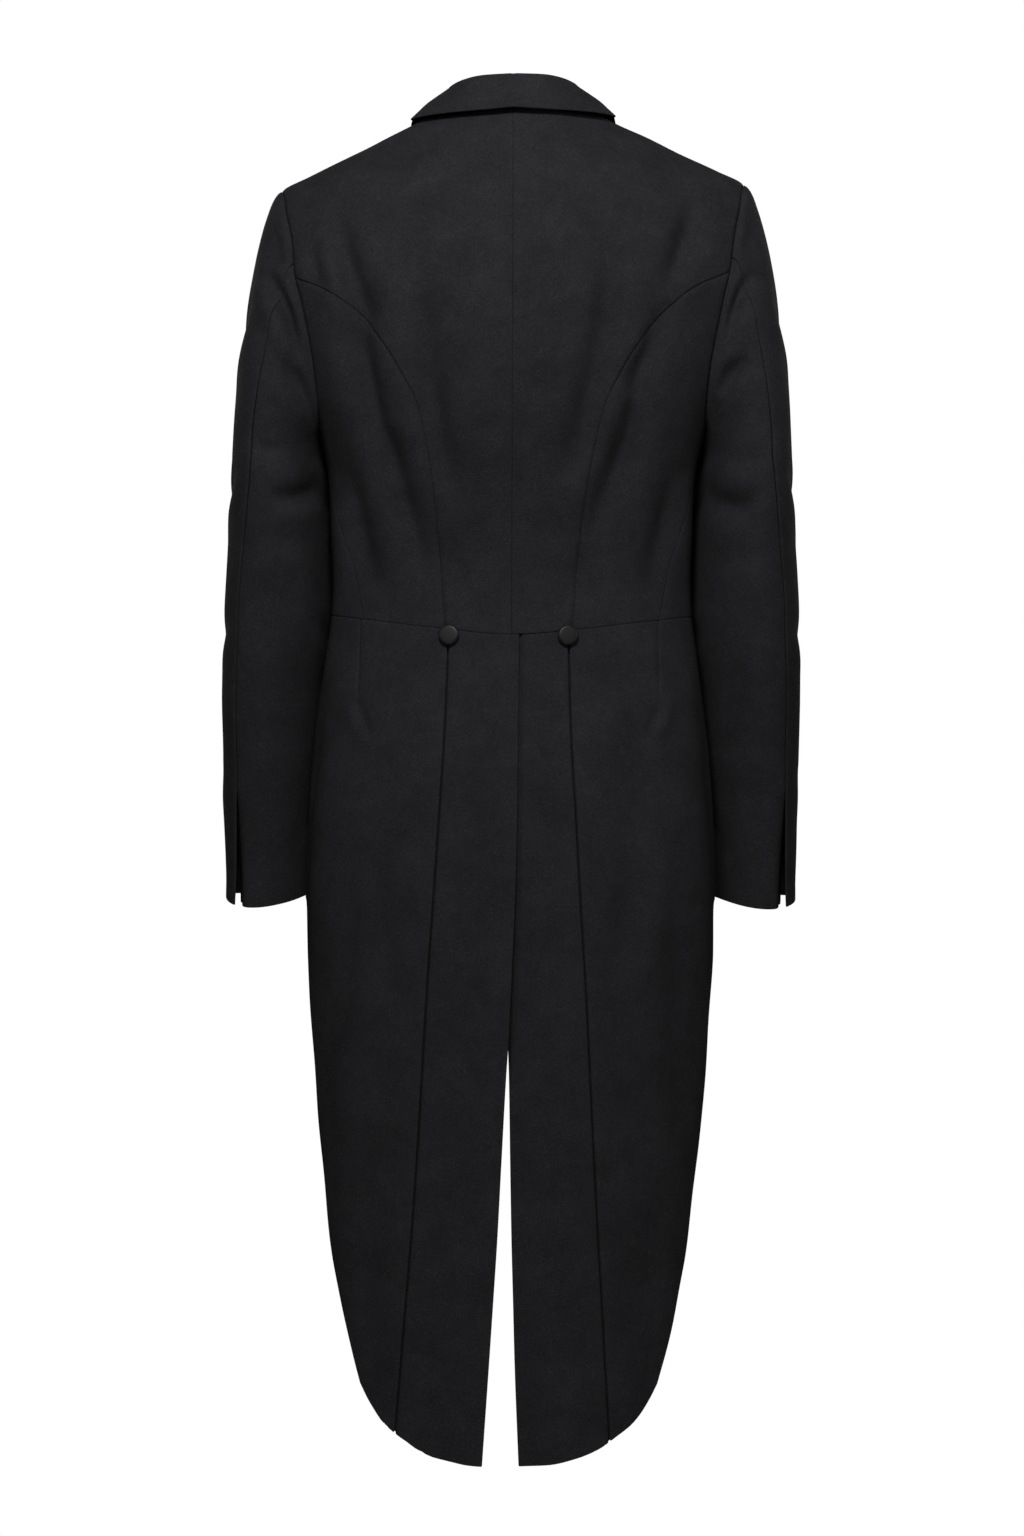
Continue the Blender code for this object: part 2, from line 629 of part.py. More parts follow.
def sleeve_grid():
    """The left sleeve as one closed tube, its points, wall directions and the forearm column.

    Its first row is the armhole, and its columns start at the hindarm seam, pass the armpit and
    the forearm seam, and come back over the shoulder tip."""
    steps = armhole_angles()
    under = np.concatenate([steps["seams"], steps["lower_back"][1:], steps["lower_front"][1:]])
    over = np.concatenate([steps["upper_front"], steps["upper_back"][1:] + 360])
    start = np.concatenate([under, over[1:]])
    forearm = len(under) - 1
    seam_places = armhole(start)
    edge = body_points(seam_places[:, 0], seam_places[:, 1])
    edge_normals = body_normals(seam_places[:, 0], seam_places[:, 1])

    def ring_angles(height):
        hind = smooth(HINDARM_SEAM["height"], HINDARM_SEAM["angle"], height)
        share_under = np.linspace(0, 1, forearm + 1)
        share_over = np.linspace(0, 1, len(start) - forearm)
        return np.concatenate([
            hind + share_under * (FOREARM_ANGLE - hind),
            (FOREARM_ANGLE + share_over * (hind + 360 - FOREARM_ANGLE))[1:],
        ])

    bicep_height = SLEEVE_SECTIONS["height"][0]
    bicep = sleeve_ring(np.full(len(start), bicep_height), ring_angles(bicep_height))
    upness = (np.cos(np.radians(start)) + 1) / 2
    leaving = np.stack([0.10 + 0.79 * upness, 0 * upness, -1 + 0.55 * upness], axis=-1)
    leaving = unit(leaving)
    edge = edge + (leaving + edge_normals) * HEAD_STANDOFF
    span = np.linalg.norm(bicep - edge, axis=-1, keepdims=True)
    rows = []
    for t in np.linspace(0, 1, SLEEVE_ROWS_HEAD + 1):
        rows.append(
            (1 + 2 * t) * (1 - t) ** 2 * edge
            + t**2 * (3 - 2 * t) * bicep
            + t * (1 - t) ** 2 * span * HEAD_START_PULL * leaving
            - t**2 * (1 - t) * span * HEAD_END_PULL * np.array([0, 0, -1.0])
        )
    for share in np.linspace(0, 1, SLEEVE_ROWS_ARM + 1)[1:]:
        angles = ring_angles(bicep_height + share * (CUFF_SIDE_HEIGHT - bicep_height))
        back_share = np.clip(np.sin(np.radians(angles)), 0, 1) ** 1.5
        foot = CUFF_SIDE_HEIGHT - CUFF_BACK_DROP * back_share
        rows.append(sleeve_ring(bicep_height + share * (foot - bicep_height), angles))
    points = np.array(rows)
    closed = np.concatenate([points[:, -2:-1], points, points[:, 1:2]], axis=1)
    around = (closed[:, 2:] - closed[:, :-2])
    normals = unit(np.cross(np.gradient(points, axis=0), around))
    centre = points[:, :-1].mean(axis=1, keepdims=True)
    normals *= np.sign(((points - centre) * normals).sum(-1, keepdims=True))
    agreement = np.clip(((normals[0] * edge_normals).sum(-1, keepdims=True) - 0.1) / 0.6, 0, 1)
    normals[0] = unit(agreement * edge_normals + (1 - agreement) * normals[0])
    return points, normals, forearm


def sleeve_panels(side, label, finish, collection):
    """The top sleeve and the under sleeve, apart by the seam gap and more at the cuff vent."""
    points, normals, forearm = sleeve_grid()
    halves = {
        f"under_sleeve_{label}": (slice(0, forearm + 1), 0),
        f"top_sleeve_{label}": (slice(forearm, None), -1),
    }
    for name, (columns, hind_column) in halves.items():
        grid = drawn_in(points[:, columns], SEAM_GAP / 2)
        inner_column = 1 if hind_column == 0 else -2
        rise = grid[:, hind_column, 2] - grid[-1, hind_column, 2]
        opening = VENT_OPENING * np.clip(1 - rise / VENT_LENGTH, 0, 1)
        aside = unit(grid[:, inner_column] - grid[:, hind_column])
        grid[:, hind_column] += aside * opening[:, None]
        wall(name, on_side(grid, side), on_side(normals[:, columns], side), finish, collection)


def collar(finish, collection):
    """Stand and fall in one folded wall, from one front end round the neck to the other."""
    count = len(COLLAR_ROWS["seam_girth"])
    at = np.linspace(0, count - 1, COLLAR_STEPS // 2 + 1)
    read = {name: smooth(np.arange(count), column, at) for name, column in COLLAR_ROWS.items()}
    seam_girth, seam_height = read["seam_girth"], read["seam_height"]
    behind = seam_girth <= 1
    seam_height = np.where(behind, neck_height(seam_girth), seam_height)
    front_x = smooth(FRONT_EDGE["height"], FRONT_EDGE["x"], seam_height)
    seam_girth = np.where(behind, seam_girth, girth_at(front_x, seam_height, front=True))
    seam = body_points(seam_girth, seam_height)
    fold = np.stack([read["fold_x"], read["fold_y"], read["fold_z"]], axis=-1)
    edge = body_points(read["edge_girth"], read["edge_height"])
    edge = edge + body_normals(read["edge_girth"], read["edge_height"]) * read["edge_lift"][:, None]
    rise = unit(fold - seam)
    run = unit(np.gradient(fold, axis=0))
    outward = unit(np.cross(rise, run))
    outward *= np.sign((outward * (edge - fold)).sum(-1, keepdims=True))
    half = COLLAR_HALF_FOLD
    foot = seam + rise * COLLAR_SEAM_RISE - outward * CLOTH / 2
    drop = half * 1.5
    fall = edge - fold
    profile = [
        foot,
        foot * 0.55 + (fold - outward * half - rise * drop) * 0.45 - outward * 0.0006,
        fold - outward * half - rise * drop,
        fold - outward * half * 0.75 - rise * half * 0.45,
        fold,
        fold + outward * half * 0.85 - rise * half * 0.45,
        fold + outward * half * 1.3 - rise * drop,
        fold + fall * 0.50 + outward * (half * 0.8 + COLLAR_FALL_BULGE),
        fold + fall * 0.78 + outward * (half * 0.3 + COLLAR_FALL_BULGE * 0.7),
        edge,
    ]
    half_grid = np.array(profile)
    mirrored = on_side(half_grid[:, :0:-1], -1)
    grid = np.concatenate([mirrored, half_grid], axis=1)
    slopes = np.cross(np.gradient(grid, axis=0), np.gradient(grid, axis=1))
    normals = unit(slopes)
    if normals[-2, grid.shape[1] // 2, 1] < 0:
        normals = -normals
    return wall("collar", grid, normals, finish, collection)


def lapel(side, label, finish, collection):
    """A peaked lapel: it rolls over at the opening edge and lies back on the forepart."""
    heights = np.linspace(LAPEL_FOOT_HEIGHT, LAPEL_TOP["height"][0], LAPEL_ROWS + 1)
    left = np.stack([smooth(FRONT_EDGE["height"], FRONT_EDGE["x"], heights), heights], axis=-1)
    free_heights = np.linspace(LAPEL_FREE_EDGE["height"][0], LAPEL_FREE_EDGE["height"][-1], LAPEL_ROWS + 1)
    free_x = smooth(LAPEL_FREE_EDGE["height"], LAPEL_FREE_EDGE["x"], free_heights)
    right = np.stack([free_x, free_heights], axis=-1)
    top_x = np.linspace(LAPEL_TOP["x"][0], LAPEL_TOP["x"][-1], LAPEL_COLUMNS + 1)
    top_x[NOTCH_COLUMN] = LAPEL_TOP["x"][3]
    top = np.stack([top_x, smooth(LAPEL_TOP["x"], LAPEL_TOP["height"], top_x)], axis=-1)
    foot_x = np.linspace(left[0, 0], right[0, 0], LAPEL_COLUMNS + 1)
    bottom = np.stack([foot_x, np.full(LAPEL_COLUMNS + 1, LAPEL_FOOT_HEIGHT)], axis=-1)
    left[-1] = top[0]
    grid = patch(left, right, bottom, top)
    x, height = grid[..., 0], grid[..., 1]
    girth = girth_at(x, height, front=True)
    normals = body_normals(girth, height)
    across = np.linspace(0, 1, LAPEL_COLUMNS + 1)
    lift = LAPEL_LIFT + (LAPEL_ROLL_LIFT - LAPEL_LIFT) * (1 - across) ** 2
    lying = body_points(girth, height) + normals * lift[None, :, None]
    edge = body_points(girth[:, 0], height[:, 0])
    toward_centre = unit(edge - body_points(girth[:, 1], height[:, 1]))
    level = normals[:, 0]
    roll = [
        edge + toward_centre * (CLOTH + SEAM_GAP) - level * CLOTH * 0.5,
        edge + toward_centre * (CLOTH + LAPEL_ROLL_REACH) + level * LAPEL_ROLL_LIFT * 0.45,
        edge + toward_centre * (CLOTH * 0.5) + level * LAPEL_ROLL_LIFT * 0.9,
    ]
    grid = np.concatenate([np.stack(roll, axis=1), lying[:, 1:]], axis=1)
    facing = np.cross(np.gradient(grid, axis=0), np.gradient(grid, axis=1))
    facing = unit(facing)
    if facing[LAPEL_ROWS // 2, -2, 1] > 0:
        facing = -facing
    wall(f"lapel_{label}", on_side(grid, side), on_side(facing, side), finish, collection)


def button(side, label, finish, collection):
    """A flat covered button with a rounded rim, standing just off the top of the pleat."""
    girth = girth_at(BUTTON_X, BUTTON_HEIGHT)
    normal = on_side(body_normals(girth, BUTTON_HEIGHT), side)
    seat = on_side(body_points(girth, BUTTON_HEIGHT), side)
    centre = seat + normal * (BUTTON_STANDOFF + BUTTON_THICKNESS / 2)
    bpy.ops.mesh.primitive_cylinder_add(
        vertices=28, radius=BUTTON_RADIUS, depth=BUTTON_THICKNESS, location=centre.tolist()
    )
    piece = bpy.context.object
    piece.name = piece.data.name = f"waist_button_{label}"
    lean = np.arctan2(normal[2], np.hypot(normal[0], normal[1]))
    heading = np.arctan2(normal[1], normal[0])
    piece.rotation_euler = (0, np.pi / 2 - lean, heading)
    bevel = piece.modifiers.new("rounded rim", "BEVEL")
    bevel.width = BUTTON_ROUNDING
    bevel.segments = 2
    bevel.limit_method = "ANGLE"
    piece.data.shade_smooth()
    piece.data.set_sharp_from_angle(angle=np.radians(50))
    piece.data.materials.append(finish)
    for other in list(piece.users_collection):
        other.objects.unlink(piece)
    collection.objects.link(piece)


def build():
    for old in list(bpy.data.objects):
        bpy.data.objects.remove(old)
    coat = bpy.data.collections.new("tailcoat")
    bpy.context.scene.collection.children.link(coat)
    wool = material("black_wool", WOOL_COLOUR, 0.85)
    satin = material("black_satin", SATIN_COLOUR, 0.35)
    covered = material("covered_button", BUTTON_COLOUR, 0.45)

    for side, label, vent in ((1, "left", "left_x"), (-1, "right", "right_x")):
        body_panel(f"back_{label}", back_places(), side, wool, coat)
        body_panel(f"side_back_{label}", side_back_places(), side, wool, coat)
        body_panel(f"front_{label}", front_places(), side, wool, coat)
        body_panel(f"tail_side_{label}", tail_side_places(), side, wool, coat)
        places = tail_centre_places(vent)
        sink = None
        if side < 0:
            x = body_points(places[..., 0], places[..., 1])[..., 0]
            sink = (CLOTH + LAP_GAP) * np.clip((0.050 - x) / 0.035, 0, 1)
        body_panel(f"tail_centre_{label}", places, side, wool, coat, sink)
        sleeve_panels(side, label, wool, coat)
        lapel(side, label, satin, coat)
        button(side, label, covered, coat)
    collar(wool, coat)


build()
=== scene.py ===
# %% [markdown]
# # A black tailcoat in its worn shape
# The coat hangs filled out, as if someone stood in it. The frame holds every cut piece as a plain
# rigid wall, in its right place. Here each wall gets its cloth: finer walls on the same form, with
# rolled seams, drag creases and pressed edges, in felted wool, satin and covered buttons.
# A simulation could make such cloth, or surfaces worked out by formula. A worn, canvassed coat
# hardly moves, and its seams have to meet within a tenth of a millimetre: the formula is used.

# %% The frame
import bpy
import numpy as np
from mathutils import Euler, Matrix, Vector
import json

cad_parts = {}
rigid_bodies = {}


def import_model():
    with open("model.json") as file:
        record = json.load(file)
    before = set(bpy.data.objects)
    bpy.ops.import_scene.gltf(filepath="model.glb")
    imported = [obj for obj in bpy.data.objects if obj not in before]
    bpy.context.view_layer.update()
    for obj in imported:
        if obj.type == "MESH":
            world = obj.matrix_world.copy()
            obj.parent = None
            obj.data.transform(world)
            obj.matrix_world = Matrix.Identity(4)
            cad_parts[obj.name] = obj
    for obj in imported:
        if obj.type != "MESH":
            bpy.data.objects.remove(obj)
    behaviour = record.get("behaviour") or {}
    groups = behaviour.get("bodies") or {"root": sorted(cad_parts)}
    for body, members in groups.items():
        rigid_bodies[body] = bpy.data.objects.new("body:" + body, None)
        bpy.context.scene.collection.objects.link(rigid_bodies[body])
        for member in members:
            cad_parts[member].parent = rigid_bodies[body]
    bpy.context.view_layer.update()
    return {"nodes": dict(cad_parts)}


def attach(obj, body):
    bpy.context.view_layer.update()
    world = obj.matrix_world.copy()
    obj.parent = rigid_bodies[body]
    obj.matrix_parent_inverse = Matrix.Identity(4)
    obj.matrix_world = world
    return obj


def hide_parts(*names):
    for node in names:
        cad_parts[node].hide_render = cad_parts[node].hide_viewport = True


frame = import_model()

# %% [markdown]
# ## Sizes
# A tailor's block is a table of sections and seam positions. These are the sizes that the walls in
# the frame were made from. A place on the coat's body is its girth (0 at the centre back, 1 at the
# side or the shoulder ridge, 2 at the centre front) and its height.

# %% How a table of sizes is written
SIDES = ((1, "left"), (-1, "right"))
PLAIN_NUMBERS = "roundness girth seam_girth edge_girth turn angle phase side".split()


def table(columns, rows):
    """Named columns of sizes: written in millimetres and kept in metres, except plain numbers."""
    names = columns.split()
    values = np.array(rows.replace("|", " ").split(), float).reshape(-1, len(names)).T
    return {name: row if name in PLAIN_NUMBERS else row / 1000 for name, row in zip(names, values)}


# %% Sizes of the cloth and the body
CLOTH, SHELL = 0.002, 0.0016
TIP_HEIGHT, PIT_HEIGHT = -0.0525, -0.264
WAIST_CENTRE_HEIGHT, WAIST_RISE, WAIST_LEVEL = -0.4457, 0.0170, 0.12
NECK_BACK_HEIGHT, NECK_SIDE_HEIGHT = 0.017, 0.018
FRONT_POINT_HEIGHT, LAPEL_FOOT_HEIGHT = -0.472, -0.400
ARMHOLE_BACK, ARMHOLE_FRONT, ARMHOLE_POWER = 0.30, 0.37, 2.3
HINDARM_ANGLE, PRINCESS_ANGLE, PIT_ANGLE, FOREARM_ANGLE = 71.0, 78.0, 180.0, 235.0
SKIRT_FRONT = 1.5
BODY_SECTIONS = table("height half_width side_y back_y front_y roundness", """
       30    53  4    60  -40    2 |    22    62  4    63  -43  1.9 |    12  75.5  5    67  -46  1.8
        2    93  6    72  -51  1.7 |   -10 117.5  7    78  -57  1.6 |   -24 146.5  8    84  -65 1.52
      -40   180  8    91  -74  1.5 | -52.5 202.6  8    96  -80 1.55 |   -83   213  7   104  -94 1.75
     -120   214  6   111 -107 1.95 |  -161   205  6   115 -116  2.1 |  -202 192.5  6   115 -120  2.2
     -236   181  7   112 -121 2.25 |  -264   171  8   108 -120  2.3 |  -307 161.5 10    99 -115 2.25
     -359   158 13    89 -108 2.18 |  -396   157 14    86 -105 2.15 |  -428   158 14    89 -107 2.15
     -464 162.5 14    97 -112 2.18 |  -498 167.4 13   105 -116  2.2 |  -550   173 12   114 -120 2.25
     -606 177.6 12   119 -121 2.28 |  -676 179.6 13   121 -121  2.3 |  -729 177.4 15 120.5 -120  2.3
     -805 173.6 18 118.5 -115  2.3 |  -900   168 23   115 -110  2.3 | -1000 160.5 27   111 -105  2.3
    -1180   150 31   104 -100  2.3
""")
BACK_HOLLOWS = table("x height half_x half_height depth", """
    132 -150 26  85   3 |  80 -240 24 110 2.2
""")
print("widest at the body:", round(2 * BODY_SECTIONS["half_width"].max(), 3), "m")

# %% Lines of the seams, edges and hem, and sections of the sleeve
PRINCESS_SEAM = table("height x", """
      -441  55.3 |   -420    57 |   -383  59.9 |   -345    64 |   -300  69.7 | -254.5  79.4
      -230  89.4 | -201.5 105.6 |   -179 123.1 |   -157 144.5 |   -142   166
""")
SIDE_SEAM = table("height girth", """
    -433  0.59 | -402 0.639 | -382 0.675 | -361 0.737 | -340   0.8 | -310  0.88 | -285  0.95
""")
PLEAT_LINE = table("height x", """
     -441 52.6 |  -520 55.1 |  -614 60.5 |  -678 64.3 |  -761 69.8 |  -859   75 |  -907 77.7
     -980 82.4 | -1052 87.5 | -1138 93.7
""")
VENT_EDGES = table("height left_x right_x", """
     -445.7 -6.9  -14 |    -605 -5.6  -10 |    -680 -3.9 -6.5 |    -741 -1.3   -4 |    -790  0.8 -2.2
       -830  3.3 -0.8 |    -898  6.8  0.4 |    -968 10.3  1.8 |   -1023 13.7  3.4 |   -1078 17.2    5
    -1164.5 22.9  8.7
""")
SKIRT_EDGE_HIGH = table("height girth", """
    -434  1.5 | -500 1.38 | -560 1.25 | -620 1.11 | -676    1
""")
SKIRT_EDGE_LOW = table("height x", """
     -676 179.6 |  -729 176.5 |  -805 171.9 |  -860 168.1 |  -915 162.3 |  -971 155.4 | -1025   146
    -1066 136.5 | -1094 128.8
""")
HEM = table("x height", """
        0 -1164.5 |  34.3 -1162.5 |    58   -1157 |  77.4 -1149.2 |  93.7   -1138 |   105 -1129.6
    112.8 -1121.3 | 121.7 -1107.8 | 128.8   -1094
""")
FRONT_EDGE = table("height x", """
      18 67.6 |   10 67.2 |    0 66.5 |  -12 65.7 |  -25 64.5 |  -46 62.2 |  -83 58.5 | -120   55
    -200   47 | -300   38 | -400   30 | -472   40
""")
FRONT_EDGE_ROWS = (-0.335, -0.235, -0.052, 0.004)
SLEEVE_SECTIONS = table("height centre_x centre_y half_x half_y turn", """
    -290 205.3 -10   37 68 15 | -360 203.4 -14   44 67 16 | -430   205 -18 46.6 64 17
    -500 209.5 -26 43.8 61 16 | -560 211.2 -34 41.8 58 15 | -620 212.7 -41 39.2 56 15
    -690 213.3 -48   36 54 15
""")
HINDARM_SEAM = table("height angle", """
    -290 82 | -360 71 | -430 66 | -690 66
""")
CUFF_SIDE_HEIGHT, CUFF_BACK_DROP = -0.674, 0.011
VENT_LENGTH, VENT_OPENING = 0.100, 0.0038
print("coat length:", round(NECK_BACK_HEIGHT - HEM["height"].min(), 3), "m below the neck seam")

# %% [markdown]
# ## The form
# A coat's body is a stack of rounded ovals, deeper behind or in front of the side seam. A
# superellipse does that in one line: its power tells how square the shoulders and hips are.

# %% Curves through the rows of a table


def cubic(t, start, end, leaving, arriving):
    """The cubic from start to end that has these two slopes at its ends, for t from 0 to 1."""
    return (
        (1 + 2 * t) * (1 - t) ** 2 * start + t**2 * (3 - 2 * t) * end
        + t * (1 - t) ** 2 * leaving - t**2 * (1 - t) * arriving
    )


def smooth(places, values, at):
    """A smooth curve through points that never overshoots them (monotone cubic): the slope at each
    is the harmonic mean of its neighbours' slopes, or 0 where these differ in sign."""
    if places[0] > places[-1]:
        places, values = places[::-1], values[::-1]
    step = np.diff(places)
    slope = np.diff(values) / step
    product, total = slope[:-1] * slope[1:], slope[:-1] + slope[1:]
    inner = np.where(product > 0, 2 * product / np.where(product > 0, total, 1), 0)
    tangent = np.concatenate([slope[:1], inner, slope[-1:]])
    at = np.clip(at, places[0], places[-1])
    row = np.clip(np.searchsorted(places, at, side="right") - 1, 0, len(step) - 1)
    t = (at - places[row]) / step[row]
    return cubic(t, values[row], values[row + 1], step[row] * tangent[row], step[row] * tangent[row + 1])


def column(rows, name, at):
    """One column of a table, read smoothly along its first one."""
    return smooth(next(iter(rows.values())), rows[name], at)


def through(points, at):
    """Points on a spline through the first axis: a cubic between each two points, whose slope at a
    point is half the way from the one before to the one after."""
    last = len(points) - 1
    row = np.clip(np.floor(at).astype(int), 0, last - 1)
    t = (at - row).reshape(-1, *[1] * (points.ndim - 1))
    p0, p1, p2, p3 = (points[np.clip(row + k, 0, last)] for k in (-1, 0, 1, 2))
    return p1 + 0.5 * t * (p2 - p0 + t * (2 * p0 - 5 * p1 + 4 * p2 - p3 + t * (3 * (p1 - p2) + p3 - p0)))


# %% Directions, steps and bells


def unit(vectors):
    """Each vector divided by its length."""
    return vectors / np.maximum(np.linalg.norm(vectors, axis=-1, keepdims=True), 1e-12)


def signed_power(base, power):
    """The power of its size, with its sign kept."""
    return np.sign(base) * np.abs(base) ** power


def soft_step(value):
    """0 below 0, 1 above 1, and an S between them: 3t^2 - 2t^3."""
    value = np.clip(value, 0, 1)
    return value * value * (3 - 2 * value)


def bell(distance, reach):
    """1 in the middle and exp(-(distance / reach)^2) away from it."""
    return np.exp(-((distance / reach) ** 2))


# %% Points of the body's form, and where its cloth faces


def hollow_depth(x, height):
    """How far the back is hollowed by the drape: a sum of bells, the same on both sides."""
    depth = 0.0
    for centre_x, centre_z, half_x, half_z, most in zip(*BACK_HOLLOWS.values()):
        depth = depth + most * bell(np.abs(x) - centre_x, half_x) * bell(height - centre_z, half_z)
    return depth


def body_points(girth, height):
    """Points of the form: x is the half width times sin^(2/n), y the depth times cos^(2/n)."""
    girth, height = np.broadcast_arrays(np.asarray(girth, float), np.asarray(height, float))
    size = {name: column(BODY_SECTIONS, name, height) for name in BODY_SECTIONS}
    angle, power, side_y = girth * np.pi / 2, 2 / size["roundness"], size["side_y"]
    x = size["half_width"] * signed_power(np.sin(angle), power)
    across = signed_power(np.cos(angle), power)
    y = side_y + np.where(across > 0, size["back_y"] - side_y, side_y - size["front_y"]) * across
    y = y - np.where(across > 0, hollow_depth(x, height) * np.clip(across * 2, 0, 1), 0)
    return np.stack([x, y, height], axis=-1)


def body_normals(girth, height):
    """Outward directions of the form: the cross product of its slopes up and round."""
    round_step, up_step = 0.02, 0.003
    around = body_points(girth + round_step, height) - body_points(girth - round_step, height)
    upward = body_points(girth, height + up_step) - body_points(girth, height - up_step)
    return unit(np.cross(upward, around))


def girth_at(x, height, front=False):
    """The girth where the form lies that far from the centre, behind or in front."""
    share = np.clip(np.abs(x) / column(BODY_SECTIONS, "half_width", height), 0, 1)
    girth = np.arcsin(share ** (column(BODY_SECTIONS, "roundness", height) / 2)) * 2 / np.pi
    return 2 - girth if front else np.sign(x) * girth


# %% Places on the form: the waist seam, the neck and the armhole


def pairs(girth, height):
    """(girth, height) places as one array of rows."""
    return np.stack(np.broadcast_arrays(np.asarray(girth, float), np.asarray(height, float)), axis=-1)


def split(places):
    """Girths and heights apart again."""
    return np.moveaxis(places, -1, 0)


def waist_height(girth):
    """The waist seam: lowest at the centre back, level there, and rising to the sides."""
    side = np.sqrt(np.sin(np.asarray(girth) * np.pi / 2) ** 2 + WAIST_LEVEL**2) - WAIST_LEVEL
    return WAIST_CENTRE_HEIGHT + WAIST_RISE * side / (np.sqrt(1 + WAIST_LEVEL**2) - WAIST_LEVEL)


def neck_height(girth):
    """The neck seam: from its height at the centre back to that at the side by the square of girth."""
    return NECK_BACK_HEIGHT - (NECK_BACK_HEIGHT - NECK_SIDE_HEIGHT) * np.asarray(girth) ** 2


def armhole(angles):
    """The armhole loop, a rounded oval, by angle from the shoulder tip over the back."""
    turn = np.radians(angles)
    power = 2 / ARMHOLE_POWER
    middle, half = (TIP_HEIGHT + PIT_HEIGHT) / 2, (TIP_HEIGHT - PIT_HEIGHT) / 2
    reach = signed_power(np.sin(turn), power)
    reach = np.where(reach > 0, ARMHOLE_BACK, ARMHOLE_FRONT) * reach
    return pairs(1 - reach, middle + half * signed_power(np.cos(turn), power))


loop = body_points(*split(armhole(np.linspace(0, 360, 361))))
print("armhole:", round(np.linalg.norm(np.diff(loop, axis=0), axis=1).sum(), 3), "m round")

# %% [markdown]
# ## Seam lines
# A pattern piece has four edges, and an edge can be several stretches put end to end: the back's
# outer edge is the curved back seam, then the armhole, then the shoulder. Each stretch is a fine
# line of places, and takes its own share of the way from 0 to 1.

# %% Lines of places, and the surface between four of them
LINE_STEPS = 300


def read(share, shares, places):
    """The place on a line at any share of it."""
    return np.stack([np.interp(share, shares, values) for values in places.T], axis=-1)


def evenly(places):
    """The same line with steps of even length on the form."""
    fine = read(np.linspace(0, len(places) - 1, 6 * LINE_STEPS), np.arange(len(places)), places)
    steps = np.linalg.norm(np.diff(body_points(*split(fine)), axis=0), axis=1)
    length = np.concatenate([[0], np.cumsum(steps)])
    return read(np.linspace(0, length[-1], LINE_STEPS + 1), length, fine)


def whole(places):
    """An edge of one stretch: the shares of its places, and the places."""
    return np.linspace(0, 1, len(places)), places


def joined(*stretches):
    """An edge of several stretches end to end, each given as (places, weight)."""
    weights = np.array([weight for _, weight in stretches], float)
    ends = np.concatenate([[0], np.cumsum(weights)]) / weights.sum()
    shares = [np.linspace(a, b, len(places)) for a, b, (places, _) in zip(ends, ends[1:], stretches)]
    return np.concatenate(shares), np.concatenate([places for places, _ in stretches])


def between_edges(left, right, bottom, top, u, v):
    """A place inside four edges: the blend of the sides, plus that of the ends, minus the corners'."""
    l, r, b, t = read(v, *left), read(v, *right), read(u, *bottom), read(u, *top)
    u, v = u[..., None], v[..., None]
    low = (1 - u) * bottom[1][0] + u * bottom[1][-1]
    high = (1 - u) * top[1][0] + u * top[1][-1]
    return (1 - u) * l + u * r + (1 - v) * (b - low) + v * (t - high)


# %% A grid with lines at set distances from its edges
DENSE = (1 - np.cos(np.linspace(0, np.pi, 241))) / 2
COARSE = np.linspace(0, 1, 81)
PITCH = 0.0034


def stations_on(lines, corners, start, end):
    """Where the grid crosses these lines: at fixed distances from both ends, and in even steps
    between them that stop at each corner, given as its share and the largest step before it.
    Gives the shares of the lines, the distances from their starts, and the lines' lengths."""
    steps = np.linalg.norm(np.diff(lines, axis=1), axis=-1)
    run = np.pad(np.cumsum(steps, axis=1), [(0, 0), (1, 0)])
    length = run[:, -1]
    stops = [np.array([np.interp(corner, DENSE, line) for line in run]) for corner, _ in corners]
    knots = [np.full(len(run), start[-1]), *stops, length - end[-1]]
    parts = [np.tile(start[:-1, None], len(run))]
    for a, b, pitch in zip(knots, knots[1:], [pitch for _, pitch in corners] + [PITCH]):
        count = max(1, int(np.ceil((b - a).max() / pitch)))
        f = np.linspace(0, 1, count, endpoint=False)[:, None]
        parts.append(a * (1 - f) + b * f)
    distance = np.concatenate([*parts, length - end[::-1, None]])
    share = np.array([np.interp(d, line, DENSE) for d, line in zip(distance.T, run)]).T
    return share, distance, length


def across_table(rows, at):
    """The stations' values, read between the coarse lines: one row for each place in `at`."""
    return np.array([np.interp(at, COARSE, line) for line in rows]).T


def even_grid(surface, corners, near):
    """Two parameters and the distances from four edges, for a surface given as a function."""
    u, v = np.meshgrid(DENSE, COARSE)
    u_share, u_run, width = stations_on(surface(u, v), corners[0], near["left"], near["right"])
    u, v = np.meshgrid(COARSE, DENSE)
    lines = surface(u, v).swapaxes(0, 1)
    v_share, v_run, height = stations_on(lines, corners[1], near["bottom"], near["top"])
    row_at, column_at = v_share.mean(axis=1), u_share.mean(axis=1)
    distances = {
        "left": across_table(u_run, row_at), "right": across_table(width - u_run, row_at),
        "bottom": across_table(v_run, column_at).T, "top": across_table(height - v_run, column_at).T,
    }
    return across_table(u_share, row_at), across_table(v_share, column_at).T, distances


# %% [markdown]
# ## Edges
# Cloth ends in four ways on this coat. At a sewn seam it turns in on a half round and presses
# against its neighbour's, a soft groove that no light comes through. A free edge (hem, cuff, vent)
# is the same half round, left open. Where one piece lies over another, as at the pleat, the upper
# one ends in that half round, and the lower one dips and runs on beneath it.

# %% How each kind of edge ends, and the relief that it makes
ROUND, PRESS = SHELL / 2, 0.00006
NEAR_EDGE = np.array([0.0, 0.0005, 0.0011, 0.0020, 0.0033])
BEYOND_START = 0.0008
SHOULDER_PRESS, SHOULDER_FROM, SHOULDER_OVER = 0.85, 0.15, 0.45
DIP, DIP_START, TUCK_START, TUCK_OVER = 0.0046, 0.0002, 0.0006, 0.0014


